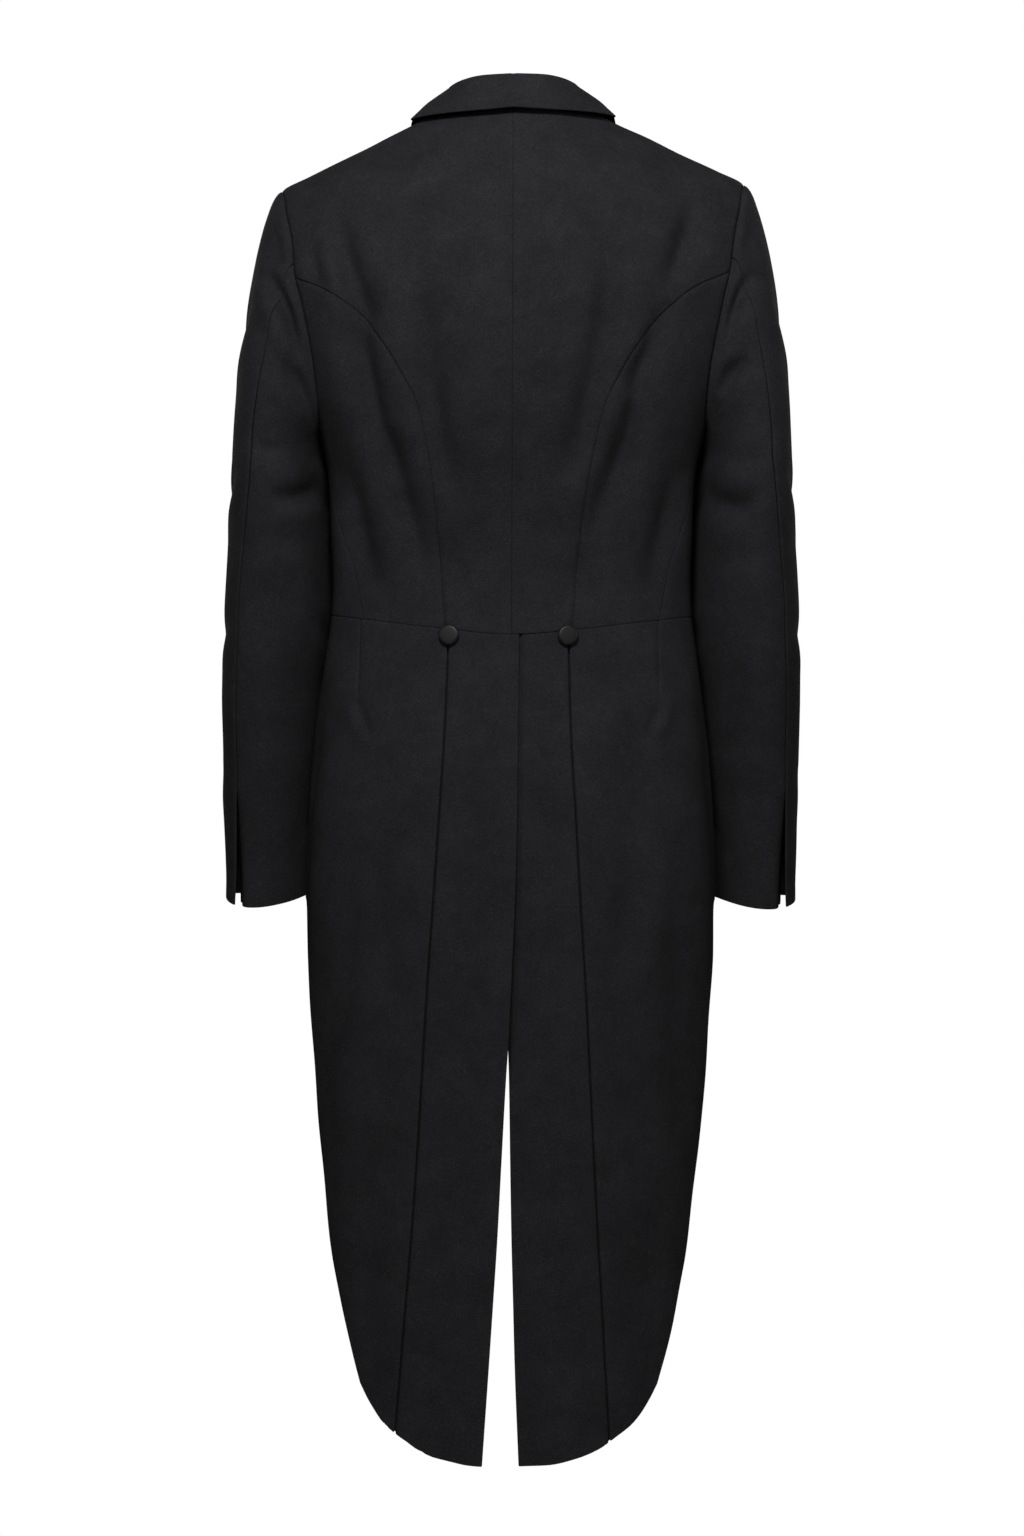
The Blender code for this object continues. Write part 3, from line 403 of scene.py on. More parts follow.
def stations(kind, lap=0.0):
    """Distances of the grid lines nearest to an edge, from its seam line. Beyond it is negative."""
    if kind in ("under", "tucked"):
        beyond = -np.linspace(lap, BEYOND_START, max(2, int(lap / PITCH) + 1))
        return np.concatenate([beyond, NEAR_EDGE])
    return NEAR_EDGE + {"sewn": ROUND - PRESS, "free": ROUND, "over": ROUND}[kind]


def edge_relief(kind, distance, depth, reach):
    """How far the cloth lies below the form near an edge: a bell for a roll, a steeper one with a
    level lap for the lower cloth of two, and a step where the lap starts at the seam itself."""
    if kind == "free":
        return 0 * distance
    if kind == "under":
        return -DIP * np.exp(-np.clip(distance - DIP_START, 0, None) ** 1.5 / reach**1.5)
    if kind == "tucked":
        return -DIP * soft_step((TUCK_START - distance) / TUCK_OVER)
    return -depth * bell(distance, reach)


def pressed_flat(normals):
    """Seams sink less where they go over the shoulder, so that its outline stays whole."""
    return 1 - SHOULDER_PRESS * soft_step((normals[..., 2] - SHOULDER_FROM) / SHOULDER_OVER)


# %% [markdown]
# ## Drape
# Even a well pressed coat has drag lines: from the shoulder blades to the waist, across the sleeve
# head, at the elbow. Each is a soft trough with a low ridge beside it, placed as seen from
# behind, from the front or from the side, and it acts on the cloth that faces that way. Long low
# waves keep the rest from looking like plastic.

# %% Creases, and long low waves
CREASE_COLUMNS = "from_across from_height to_across to_height bow half_width depth"
RIDGES = ((0.38, 2.1, 1.3), (0.22, -2.3, 1.5))
FACES_BACK, FACES_ASIDE = 1.8, 2.4
SEEN_FROM_BEHIND = table(CREASE_COLUMNS, """
     150.9  -86  123.5  -172  4 10.2  8.4 |    134 -162  102.9  -304  6 10.9    9
       106 -276   76.2  -384  3 10.2  6.7 |   80.9 -136   52.6  -326  5 12.2  7.6
     174.6 -104  165.6  -142  1    6  3.6 |    139 -310    120  -404  2 10.1  5.4
        33  -35     29   -75  1   12 -1.8 |     60 -360     30  -428  2    9  1.8
    -157.2  -76 -134.9  -146 -3   10  7.9 |   -130 -166   -106  -234 -2   10  7.3
      -112 -216    -72  -350 -6 10.9  8.7 |  -85.4 -124  -50.9  -304 -6 12.2  7.9
      -141 -306   -120  -402 -2 10.1  5.4 |    -70 -350    -44  -425 -2    9  2.1
       -52  -40    -42   -90  0   11 -1.6 |    115 -560    105  -760  3   16  3.6
       143 -600    150  -820 -2   13  3.1 |   -108 -540   -100  -720 -3   15  3.4
      -145 -620   -150  -860  2   13  2.9 |     33 -700     42  -960  2   14  2.1
       -40 -640    -42  -900 -2   14  2.3 |    118 -880    123 -1060  2   14  2.6
      -122 -900   -118 -1070 -2   15  2.3
""")
SLEEVES_FROM_BEHIND = table(CREASE_COLUMNS, """
     211  -70  208 -120  1   12 3.8 |  215 -128  184 -196 -3  6.8 8.6 |  202 -206  167 -256 -2  8.4 6.5
     224 -276  200 -288  1    8 3.6 |  208 -325  170 -318  3  8.7 5.8 |  220 -360  185 -372 -2 11.6 2.2
     206 -520  185 -545  1   13 1.4 | -208  -72 -206 -118 -1   12 2.9 | -208 -136 -184 -186  2  7.2 8.1
    -204 -208 -182 -236  2  7.8   7 | -224 -285 -196 -300 -1  9.4 2.4 | -210 -334 -174 -326 -3  9.4 5.3
    -218 -372 -188 -388  2 11.6 1.9 | -208 -530 -188 -552 -1   13 1.4
""")
SEEN_FROM_THE_FRONT = table(CREASE_COLUMNS, """
     156  -90  130 -180  4    9 2.9 |  142 -200  106 -330  6   11 3.2 |  133 -340  105 -430  3    8 2.3
      85 -330   60 -430  3    9 1.8 | -154  -86 -131 -170 -4    9 2.5 | -144 -210 -102 -325 -5 10.5 3.4
    -135 -330 -108 -425 -3    8 2.2 |  -90 -340  -58 -432 -3    9   2
""")
SLEEVES_FROM_THE_FRONT = table(CREASE_COLUMNS, """
     210 -120  175 -200 -4   8 4.3 |  225 -300  180 -330  4 7.5   4 |  230 -345  185 -352 -2   7 3.2
     225 -385  182 -405  2 8.5 2.5 |  218 -560  188 -590  2   9 1.4 | -207 -118 -178 -192  4   8   4
    -226 -294 -183 -322 -4 7.5 3.6 | -229 -338 -186 -350  2   7 3.4 | -224 -392 -180 -410 -2 8.5 2.3
    -217 -570 -189 -596 -2   9 1.3
""")
SLEEVES_FROM_THE_SIDE = table(CREASE_COLUMNS, """
     26 -150 -25 -215  4 9.5 2.9 |  33 -300 -15 -335  3   8 2.5 | -60 -350  -6 -372 -3   8 2.7
     20 -430 -35 -455  2   9 1.6 | -25 -560 -65 -590  2   9 1.4
""")
SIDES_OF_THE_SKIRT = table(CREASE_COLUMNS, """
     35 -500 25 -700  4 14 2.2 | -30 -450 -5 -600 -4 13 2.3 |  65 -720 60 -960  3 15 1.8
""")
WAVES = table("across_length height_length phase height", """
    118 290 0.4  0.4 |  74 170 2.1  0.3 | 151  93 4.4 0.26 |  52 121 1.2 0.16
""")


# %% The relief that they make


def creases(across, height, rows):
    """The sum of the creases: along its bowed line each is a trough of bell section that rises and
    fades as a sine, with a low ridge on both sides: its share of the depth, and its place and
    reach in half widths."""
    relief = np.zeros(np.shape(across))
    for from_a, from_h, to_a, to_h, bow, half_width, depth in zip(*rows.values()):
        length = np.hypot(to_a - from_a, to_h - from_h)
        along_a, along_h = (to_a - from_a) / length, (to_h - from_h) / length
        along = ((across - from_a) * along_a + (height - from_h) * along_h) / length
        aside = (height - from_h) * along_a - (across - from_a) * along_h
        share = np.clip(0.1 + 0.8 * along, 0, 1)
        along = np.clip(along, 0, 1)
        aside = (aside - bow * 4 * along * (1 - along)) / half_width
        ridges = sum(part * bell(aside - place, reach) for part, place, reach in RIDGES)
        relief -= depth * np.sin(np.pi * share) * (bell(aside, 1) - ridges)
    return relief


def waves(across, height):
    """Products of two sines, each with its own lengths and start."""
    relief = np.zeros(np.shape(across))
    for across_length, height_length, phase, most in zip(*WAVES.values()):
        upward = np.sin(2 * np.pi * height / height_length + 2.3 * phase)
        relief += most * np.sin(2 * np.pi * across / across_length + phase) * upward
    return relief


def drape(points, normals, behind, front, side):
    """Creases that act by how far the cloth faces the side from which they were placed."""
    x, y, z = split(points)
    relief = soft_step(normals[..., 1] * FACES_BACK) * creases(x, z, behind)
    relief += soft_step(-normals[..., 1] * FACES_BACK) * creases(x, z, front)
    relief += soft_step(np.abs(normals[..., 0]) * FACES_ASIDE - 1) * creases(y, z, side)
    return relief + waves(x + y, z)


# %% [markdown]
# ## A wall of cloth
# Solidify would give every panel its thickness, but at a seam it would turn the two walls into
# each other, since it sees one panel at a time. So the wall is built here: the outer grid, the
# same grid moved in along the form's own directions, and a half round between them.

# %% The lean of the coat, the weave map and the directions at the rim
PIECES = {}
RIM_TURNS = np.radians([45.0, 90.0, 135.0])
LEAN, LEAN_FOOT, LEAN_OVER = 0.018, -0.42, 0.28


def on_side(vectors, side):
    """The wearer's left as it is, or mirrored to the right."""
    return vectors * np.array([side, 1, 1])


def settled(points):
    """The worn coat's left shoulder sits lower than its right one, by a slope that ends at the
    waist."""
    drop = LEAN * points[..., 0] * soft_step((points[..., 2] - LEAN_FOOT) / LEAN_OVER)
    return points - drop[..., None] * np.array([0, 0, 1])


def weave_map(points):
    """Metres along the weft and the warp: running lengths of the grid lines, from the middle."""
    def running(axis):
        total = np.cumsum(np.linalg.norm(np.diff(points, axis=axis), axis=-1), axis=axis)
        pad = [(0, 0), (0, 0)]
        pad[axis] = (1, 0)
        total = np.pad(total, pad)
        return total - np.take(total, [total.shape[axis] // 2], axis=axis)
    return np.stack([running(1), running(0)], axis=-1)


def outward_at_rim(points, normals):
    """At each border point, the direction away from the panel, square to its edge and its normal."""
    away, along = np.zeros_like(points), np.zeros_like(points)
    for axis in (0, 1):
        grid, out, run = (a.swapaxes(0, axis) for a in (points, away, along))
        for edge, inner in ((0, 1), (-1, -2)):
            out[edge] += unit(grid[edge] - grid[inner])
            run[edge, 1:-1] = unit(grid[edge, 2:] - grid[edge, :-2])
    for square_to in (along, normals):
        away -= (away * square_to).sum(-1, keepdims=True) * square_to
    return unit(away)


# %% A mesh from arrays


def mesh_object(name, points, faces, weave=None):
    """A mesh from arrays: corner points, and faces that all have the same number of corners."""
    mesh = bpy.data.meshes.new(name)
    mesh.vertices.add(len(points))
    mesh.vertices.foreach_set("co", points.astype(np.float32).ravel())
    mesh.loops.add(faces.size)
    mesh.loops.foreach_set("vertex_index", faces.astype(np.int32).ravel())
    mesh.polygons.add(len(faces))
    mesh.polygons.foreach_set("loop_start", np.arange(0, faces.size, faces.shape[1], dtype=np.int32))
    mesh.update(calc_edges=True)
    if weave is not None:
        layer = mesh.uv_layers.new(name="weave")
        layer.data.foreach_set("uv", weave[faces.ravel()].astype(np.float32).ravel())
    mesh.validate()
    mesh.shade_smooth()
    made = bpy.data.objects.new(name, mesh)
    bpy.context.scene.collection.objects.link(made)
    print(f"{name}: {len(points)} points, {len(faces)} faces")
    return made


# %% The wall


def wall(node, outer, normals):
    """A closed wall of cloth from its outer grid, with a half round on all four edges."""
    outer = settled(outer)
    rows, columns = outer.shape[:2]
    facing = np.cross(np.diff(outer, axis=0)[:, :-1], np.diff(outer, axis=1)[:-1])
    index = np.arange(rows * columns).reshape(rows, columns)
    a, b, c, d = index[:-1, :-1], index[1:, :-1], index[1:, 1:], index[:-1, 1:]
    rim = np.concatenate([index[0, :], index[1:, -1], index[-1, -2::-1], index[-2:0:-1, 0]])
    away = outward_at_rim(outer, normals).reshape(-1, 3)[rim]
    flat_points, flat_normals = outer.reshape(-1, 3), normals.reshape(-1, 3)
    middle = flat_points[rim] - flat_normals[rim] * SHELL / 2
    turns = RIM_TURNS[:, None, None]
    rings = middle + SHELL / 2 * (away * np.sin(turns) + flat_normals[rim] * np.cos(turns))
    points = np.concatenate([flat_points, flat_points - flat_normals * SHELL, rings.reshape(-1, 3)])
    inner = rows * columns
    ring_index = 2 * inner + np.arange(len(RIM_TURNS) * len(rim)).reshape(len(RIM_TURNS), len(rim))
    loops = np.concatenate([rim[None], ring_index, rim[None] + inner])
    ahead = np.roll(loops, -1, axis=1)
    faces = np.concatenate([
        np.stack([a, b, c, d], axis=-1).reshape(-1, 4),
        np.stack([a, d, c, b], axis=-1).reshape(-1, 4) + inner,
        np.stack([loops[:-1], ahead[:-1], ahead[1:], loops[1:]], axis=-1).reshape(-1, 4),
    ])
    if (facing * normals[:-1, :-1]).sum() <= 0:
        faces = faces[:, ::-1]
    weave = weave_map(outer).reshape(-1, 2)
    weave = np.concatenate([weave, weave] + [weave[rim]] * len(RIM_TURNS))
    PIECES[node] = mesh_object(f"cloth_{node}", points, faces, weave)


# %% [markdown]
# ## Panels of the body
# A panel is four edges on the form, a grid between them, and its relief. The grid has fixed
# distances of half a millimetre to three near each edge, where the seam's groove is, and even
# steps of about 3 mm elsewhere. Lower cloth runs on past its seam line, straight ahead.

# %% A panel of the body
LOOK_BACK = 0.004


def panel_grid(edges, kinds, corners, laps):
    """Places of a panel's grid, its two parameters and each point's distances from the four edges.
    Points beyond an edge carry straight on from it."""
    near = {at: stations(kind, laps.get(at, 0)) for at, (kind, _, _) in kinds.items()}
    surface = lambda u, v: body_points(*split(between_edges(*edges, u, v)))
    u, v, distances = even_grid(surface, corners, near)
    border = between_edges(*edges, u, v)
    at, places = surface(u, v), border
    for low, high, back_u, back_v in (("left", "right", 1, 0), ("bottom", "top", 0, 1)):
        beyond = np.clip(-distances[low], 0, None) + np.clip(-distances[high], 0, None)
        inward = np.where(distances[low] < distances[high], 1, -1) * LOOK_BACK
        look_u, look_v = np.clip(u + inward * back_u, 0, 1), np.clip(v + inward * back_v, 0, 1)
        before = between_edges(*edges, look_u, look_v)
        span = np.linalg.norm(at - body_points(*split(before)), axis=-1)
        places = places + (border - before) * (beyond / span)[..., None]
    return places, {"left": v, "right": v, "bottom": u, "top": u}, distances


def body_panel(node, edges, kinds, side, corners=((), ()), laps=None, extra=None):
    """A wall on the form, lowered by its edges' relief and moved by the drape. Each edge has its
    kind, depth and reach; a depth can be a pair of shares along the edge and depths there."""
    places, along, distances = panel_grid(edges, kinds, corners, laps or {})
    points = on_side(body_points(*split(places)), side)
    normals = on_side(body_normals(*split(places)), side)
    relief = np.zeros(points.shape[:2])
    for at, (kind, depth, reach) in kinds.items():
        depth = np.interp(along[at], *depth) if isinstance(depth, tuple) else depth
        relief = np.minimum(relief, edge_relief(kind, distances[at], depth, reach))
    relief = relief * pressed_flat(normals)
    relief = relief + drape(points, normals, SEEN_FROM_BEHIND, SEEN_FROM_THE_FRONT, SIDES_OF_THE_SKIRT)
    if extra is not None:
        relief = relief + extra(points, distances)
    wall(node, points + normals * relief[..., None], normals)


# %% [markdown]
# ## Back and side back
# The back is cut in two halves with a seam down the centre. The curved back seam runs from the
# armhole to the waist and shapes the cloth over the shoulder blades. It is the neatest place for
# shaping on a tailcoat, because it ends exactly under the waist button.

# %% Their seam lines
SEAM_WEIGHT, ARMHOLE_WEIGHT, SHOULDER_WEIGHT = 13, 5, 5
CENTRE_SHARES = (0.0, 0.62, 0.83, 1.0)
SIDEWAYS = table("height shift", """
        0   0 |  -150   0 |  -300 1.6 |  -440 2.5 |  -920 3.6 | -1140   6
""")


def sideways(heights, side):
    """The back seams and pleats of the worn coat lie a few millimetres towards its left."""
    return side * column(SIDEWAYS, "shift", heights)


def princess_line(side):
    """The curved back seam, from the waist up to the armhole: a spline through its table."""
    heights = PRINCESS_SEAM["height"]
    line = pairs(girth_at(PRINCESS_SEAM["x"] + sideways(heights, side), heights), heights)
    line[0, 1] = waist_height(line[0, 0])
    line = np.concatenate([line, armhole([PRINCESS_ANGLE])])
    return evenly(through(line, np.linspace(0, len(line) - 1, LINE_STEPS)))


def side_seam_line():
    """The side seam through its table, from the waist seam to the armhole's lowest point."""
    line = pairs(SIDE_SEAM["girth"], SIDE_SEAM["height"])
    line[0, 1] = waist_height(line[0, 0])
    return evenly(np.concatenate([line, armhole([PIT_ANGLE])]))


def waist_line(start, end):
    """The waist seam between two girths, in even steps."""
    girth = np.linspace(start, end, LINE_STEPS)
    return whole(pairs(girth, waist_height(girth)))


def shoulder_line():
    """The shoulder seam: the form's ridge, where the girth is 1, from its tip to the neck."""
    return pairs(1.0, np.linspace(TIP_HEIGHT, NECK_SIDE_HEIGHT, LINE_STEPS))


def back_edges(side):
    """Centre seam, outer edge, waist and neck."""
    steps = np.linspace(0, ARMHOLE_WEIGHT, LINE_STEPS)
    angles = np.interp(steps, range(6), [PRINCESS_ANGLE, *np.linspace(HINDARM_ANGLE, 0, 5)])
    weights = (SEAM_WEIGHT, ARMHOLE_WEIGHT, SHOULDER_WEIGHT)
    right = joined(*zip((princess_line(side), armhole(angles), shoulder_line()), weights))
    corner_shares = np.cumsum([0, *weights]) / sum(weights)
    centre = np.interp(np.linspace(0, 1, LINE_STEPS), corner_shares, CENTRE_SHARES)
    left = whole(pairs(0.0, WAIST_CENTRE_HEIGHT + centre * (NECK_BACK_HEIGHT - WAIST_CENTRE_HEIGHT)))
    neck_girth = np.linspace(0, 1, LINE_STEPS)
    top = whole(pairs(neck_girth, neck_height(neck_girth)))
    return (left, right, waist_line(0.0, right[1][0, 0]), top), corner_shares[1:-1]


def side_back_edges(side):
    """Curved back seam, side seam, waist and the lower back of the armhole."""
    left, right = princess_line(side), side_seam_line()
    top = armhole(np.linspace(PRINCESS_ANGLE, PIT_ANGLE, LINE_STEPS))
    return whole(left), whole(right), waist_line(left[0, 0], right[0, 0]), whole(top)


# %% Make them: each edge has its kind, and its groove's depth and reach
FREE = ("free", 0, 1)
CENTRE_SEAM = ("sewn", 0.0003, 0.0009)
CURVED_SEAM = ("sewn", 0.0014, 0.0018)
CURVED_SEAM_BELOW = ("sewn", 0.0009, 0.0034)
FAINT_SEAM = ("sewn", 0.0003, 0.0010)
ARMHOLE_SEAM = ("sewn", 0.0022, 0.0024)
WAIST_EDGE = ("sewn", 0.0004, 0.0010)
WAIST_SEAM = ("sewn", 0.0004, 0.0012)
WAIST_TUCK = ("tucked", 0, 0)


def edges_of(*kinds):
    """A kind for each edge: left, right, bottom and top."""
    return dict(zip(("left", "right", "bottom", "top"), kinds))


def seams_along(shares, *seams):
    """One edge of several seams: each keeps its depth until just before the next one starts."""
    ends = np.concatenate([[0], shares, [1]])
    places = np.stack([ends[:-1] + 0.01, ends[1:] - 0.01], axis=-1).ravel()
    depths = np.repeat([depth for _, depth, _ in seams], 2)
    return "sewn", (places, depths), max(reach for _, _, reach in seams)


for side, label in SIDES:
    edges, corner_shares = back_edges(side)
    outer_edge = seams_along(corner_shares, CURVED_SEAM, ARMHOLE_SEAM, FAINT_SEAM)
    kinds = edges_of(CENTRE_SEAM, outer_edge, WAIST_EDGE, FAINT_SEAM)
    body_panel(f"back_{label}", edges, kinds, side, ((), [(share, PITCH) for share in corner_shares]))
    kinds = edges_of(CURVED_SEAM_BELOW, FAINT_SEAM, WAIST_EDGE, ARMHOLE_SEAM)
    body_panel(f"side_back_{label}", side_back_edges(side), kinds, side)

# %% [markdown]
# ## Fronts
# The front can't be seen in a back view, so it is the plainest front that a tailcoat has: a
# forepart with a roll line that runs down to a point below the waist.

# %% The foreparts


def front_edge_line(heights):
    """The opening edge: neckline, roll line and front edge."""
    line = pairs(girth_at(column(FRONT_EDGE, "x", heights), heights, front=True), heights)
    line[heights >= NECK_SIDE_HEIGHT - 1e-6, 0] = 1.0
    return line


def front_bottom(girth, front_girth):
    """The waist seam as far as the skirt, and then the free lower edge down to the front point."""
    past = np.clip((girth - SKIRT_FRONT) / (front_girth - SKIRT_FRONT), 0, 1)
    return pairs(girth, waist_height(girth) * (1 - past**2) + FRONT_POINT_HEIGHT * past**2)


def front_edges():
    """Side seam with armhole and shoulder, opening edge, waist and neck point."""
    lower, upper = np.linspace(PIT_ANGLE, FOREARM_ANGLE, 4), np.linspace(FOREARM_ANGLE, 360, 8)[1:]
    fore = armhole(np.interp(np.linspace(0, 10, 2 * LINE_STEPS), range(11), [*lower, *upper]))
    left = joined((side_seam_line(), 13), (fore, 10), (shoulder_line(), 5))
    shares = np.array([0, 13, 17, 23, 28]) / 28
    heights = np.interp(np.linspace(0, 1, 2 * LINE_STEPS), shares, [FRONT_POINT_HEIGHT, *FRONT_EDGE_ROWS])
    right = whole(front_edge_line(heights))
    front_girth = right[1][0, 0]
    bottom = joined(*(
        (front_bottom(np.linspace(start, end, LINE_STEPS), front_girth), 1)
        for start, end in ((left[1][0, 0], SKIRT_FRONT), (SKIRT_FRONT, front_girth))
    ))
    top = whole(front_edge_line(np.linspace(NECK_SIDE_HEIGHT, heights[-1], LINE_STEPS)))
    return (left, right, bottom, top), shares[[1, 3]]


for side, label in SIDES:
    edges, corner_shares = front_edges()
    side_edge = seams_along(corner_shares, FAINT_SEAM, ARMHOLE_SEAM, FAINT_SEAM)
    corners = ([(0.5, PITCH)], [(share, PITCH) for share in corner_shares])
    body_panel(f"front_{label}", edges, edges_of(side_edge, FREE, WAIST_EDGE, FREE), side, corners)

# %% [markdown]
# ## Tails
# Below the waist the skirt has two pieces a side. The outer one folds over the inner one at the
# pleat, which drops from the waist button, and the wearer's left tail laps over the right one
# at the vent. A short dart from the waist gives the skirt its round over the hip, and cloth
# always puckers a little where a dart ends.

# %% Sizes of the darts, the pleats and the vent
DARTS = table("top_x top_height foot_x foot_height side", """
    131.3 -430  133.5 -506.8  1 |  -128 -430 -129.1 -506.8 -1
""")
DART_DEPTH, DART_REACH, DART_FADE = 0.0011, 0.0011, 0.25
DART_BAND, DART_PITCH = (0.300, 0.335), 0.0006
PUCKER_DEPTH, PUCKER_LENGTH, PUCKER_START, PUCKER_SLANT = 0.0030, 0.034, 0.001, 0.010
PUCKER_REACH, PUCKER_RIDGE, RIDGE_ASIDE, RIDGE_REACH = 0.0045, 0.5, 0.009, 0.006
LEFT_FALL, RIGHT_FALL = (-0.50, 0.35), (-0.52, 0.30)
PLEAT_LAP, WAIST_LAP = 0.012, 0.004
PLEAT_EDGE = ("over", 0.0003, 0.0009)
PLEAT_UNDER = ("under", 0, 0.0012)
VENT_REACH, VENT_DROP, VENT_SUNK, VENT_LIFT = 0.022, 0.0055, 0.0036, 0.0022
SUNK_FROM, SUNK_OVER = 0.0046, 0.0036
TAIL_SHARES = np.linspace(0, 1, 2 * LINE_STEPS) ** 0.92


# %% The edges of the tails


def at_x(x, heights):
    """Places that far from the centre."""
    return pairs(girth_at(x, heights), heights)


def pleat_places(heights, side):
    """The pleat: its table's distance from the centre plus the worn coat's shift."""
    return at_x(column(PLEAT_LINE, "x", heights) + sideways(heights, side), heights)


def skirt_edge_places(heights):
    """The skirt's front edge: round the hip above, and by its distance from the centre below."""
    low = girth_at(column(SKIRT_EDGE_LOW, "x", heights), heights)
    is_high = heights > SKIRT_EDGE_LOW["height"][0]
    return pairs(np.where(is_high, column(SKIRT_EDGE_HIGH, "girth", heights), low), heights)


def hem_places(start, end):
    """The hem between two distances from the centre, through its table."""
    x = np.linspace(start, end, LINE_STEPS)
    return at_x(x, column(HEM, "height", x))


def down(top, foot):
    """The heights of a line from its foot to its top, a little closer where the hem turns."""
    return foot + TAIL_SHARES * (top - foot)


def closed_corners(left, right, bottom, top):
    """The four lines with their ends drawn to the same corners."""
    left[-1], right[-1], left[0], right[0] = top[1][0], top[1][-1], bottom[0], bottom[-1]
    return whole(left), whole(right), whole(bottom), top


PLEAT_TOP, PLEAT_FOOT = PLEAT_LINE["height"][[0, -1]]


def pleat_foot_x(side):
    """How far from the centre the pleat meets the hem."""
    return PLEAT_LINE["x"][-1] + sideways(PLEAT_FOOT, side)


def tail_side_edges(side):
    """Pleat, front edge of the skirt, hem and waist."""
    left = pleat_places(down(PLEAT_TOP, PLEAT_FOOT), side)
    right = skirt_edge_places(down(SKIRT_EDGE_HIGH["height"][0], SKIRT_EDGE_LOW["height"][-1]))
    bottom = hem_places(pleat_foot_x(side), HEM["x"][-1])
    return closed_corners(left, right, bottom, waist_line(left[-1, 0], SKIRT_FRONT))


def tail_centre_edges(vent_column, side):
    """Vent, pleat, hem and waist."""
    heights = down(*VENT_EDGES["height"][[0, -1]])
    vent_x = column(VENT_EDGES, vent_column, heights)
    left, right = at_x(vent_x, heights), pleat_places(down(PLEAT_TOP, PLEAT_FOOT), side)
    bottom = hem_places(vent_x[0], pleat_foot_x(side))
    return closed_corners(left, right, bottom, waist_line(left[-1, 0], right[-1, 0]))


# %% Darts, and the two sides of the vent


def darts(points, distances):
    """A narrow groove down the dart, and a short slanting pucker at its foot."""
    x, y, z = split(points)
    relief = np.zeros(x.shape)
    for top_x, top_z, foot_x, foot_z, side in zip(*DARTS.values()):
        share = (z - top_z) / (foot_z - top_z)
        line = top_x + (foot_x - top_x) * np.clip(share, 0, 1)
        fade = soft_step((1 - share) / DART_FADE)
        relief -= DART_DEPTH * fade * bell(x - line, DART_REACH)
        along = (foot_z - z) / PUCKER_LENGTH
        aside = x - foot_x + side * (PUCKER_START + PUCKER_SLANT * np.clip(along, -0.3, 1))
        ridge = PUCKER_RIDGE * bell(aside - side * RIDGE_ASIDE, RIDGE_REACH)
        fold = bell(aside, PUCKER_REACH) - ridge
        relief -= PUCKER_DEPTH * fold * np.sin(np.pi * np.clip((along + 0.25) / 1.25, 0, 1)) ** 1.5
    return relief * soft_step(y / 0.02)


def left_vent(points, distances):
    """The upper tail's edge stands off a little, more towards the foot."""
    fall = soft_step((LEFT_FALL[0] - points[..., 2]) / LEFT_FALL[1])
    return VENT_LIFT * fall * bell(distances["left"], VENT_REACH)


def right_vent(points, distances):
    """The lower tail is sunk under the upper one, and drops back further towards the foot."""
    upper_edge = column(VENT_EDGES, "left_x", points[..., 2])
    sunk = VENT_SUNK * soft_step((points[..., 0] - upper_edge + SUNK_FROM) / SUNK_OVER)
    fall = soft_step((RIGHT_FALL[0] - points[..., 2]) / RIGHT_FALL[1])
    return -sunk - VENT_DROP * fall * bell(distances["left"], VENT_REACH)


# %% Make the tails
for (side, label), top, vent in zip(SIDES, (WAIST_SEAM, WAIST_TUCK), (left_vent, right_vent)):
    kinds = edges_of(PLEAT_EDGE, FREE, FREE, WAIST_SEAM)
    corners = ([(DART_BAND[0], PITCH), (DART_BAND[1], DART_PITCH)], ())
    body_panel(f"tail_side_{label}", tail_side_edges(side), kinds, side, corners, extra=darts)
    kinds, laps = edges_of(FREE, PLEAT_UNDER, FREE, top), {"top": WAIST_LAP, "right": PLEAT_LAP}
    edges = tail_centre_edges(f"{label}_x", side)
    body_panel(f"tail_centre_{label}", edges, kinds, side, laps=laps, extra=vent)

# %% [markdown]
# ## Sleeves
# A tailored sleeve is a tube in two pieces. Its head leaves the armhole at the angle of the
# shoulder and falls to the bicep, and a cubic curve between those two directions gives
# that fall at every point of the armhole. Below the bicep the tube is a stack of turned
# ovals. Its cloth also turns in under the body at the armhole, as the seam allowance does.

# %% Where the sleeve starts round the armhole
UNDER_ANGLES = [
    HINDARM_ANGLE, PRINCESS_ANGLE, *np.linspace(PRINCESS_ANGLE, PIT_ANGLE, 7)[1:],
    *np.linspace(PIT_ANGLE, FOREARM_ANGLE, 4)[1:],
]
OVER_ANGLES = [*np.linspace(FOREARM_ANGLE, 360, 8)[1:], *np.linspace(360, 360 + HINDARM_ANGLE, 5)[1:]]
START_ANGLES = np.array(UNDER_ANGLES + OVER_ANGLES)
FOREARM_AT, ROUND_AT = len(UNDER_ANGLES) - 1, len(START_ANGLES) - 1
WRAPPED_ANGLES = np.concatenate([START_ANGLES[-3:-1] - 360, START_ANGLES, START_ANGLES[1:3] + 360])
HEAD_SHARE, HEAD_START_PULL, HEAD_STANDOFF = 0.36, 0.30, 0.0005
LEAVES_AT_FOOT, LEAVES_HIGHER = np.array([0.10, 0, -1]), np.array([0.79, 0, 0.55])
ALLOWANCE = table("back_along below", """
       5 2.9 |  2.2 2.8 |  0.8 2.6 | -0.2 1.2
""")


# %% The sleeve's surface


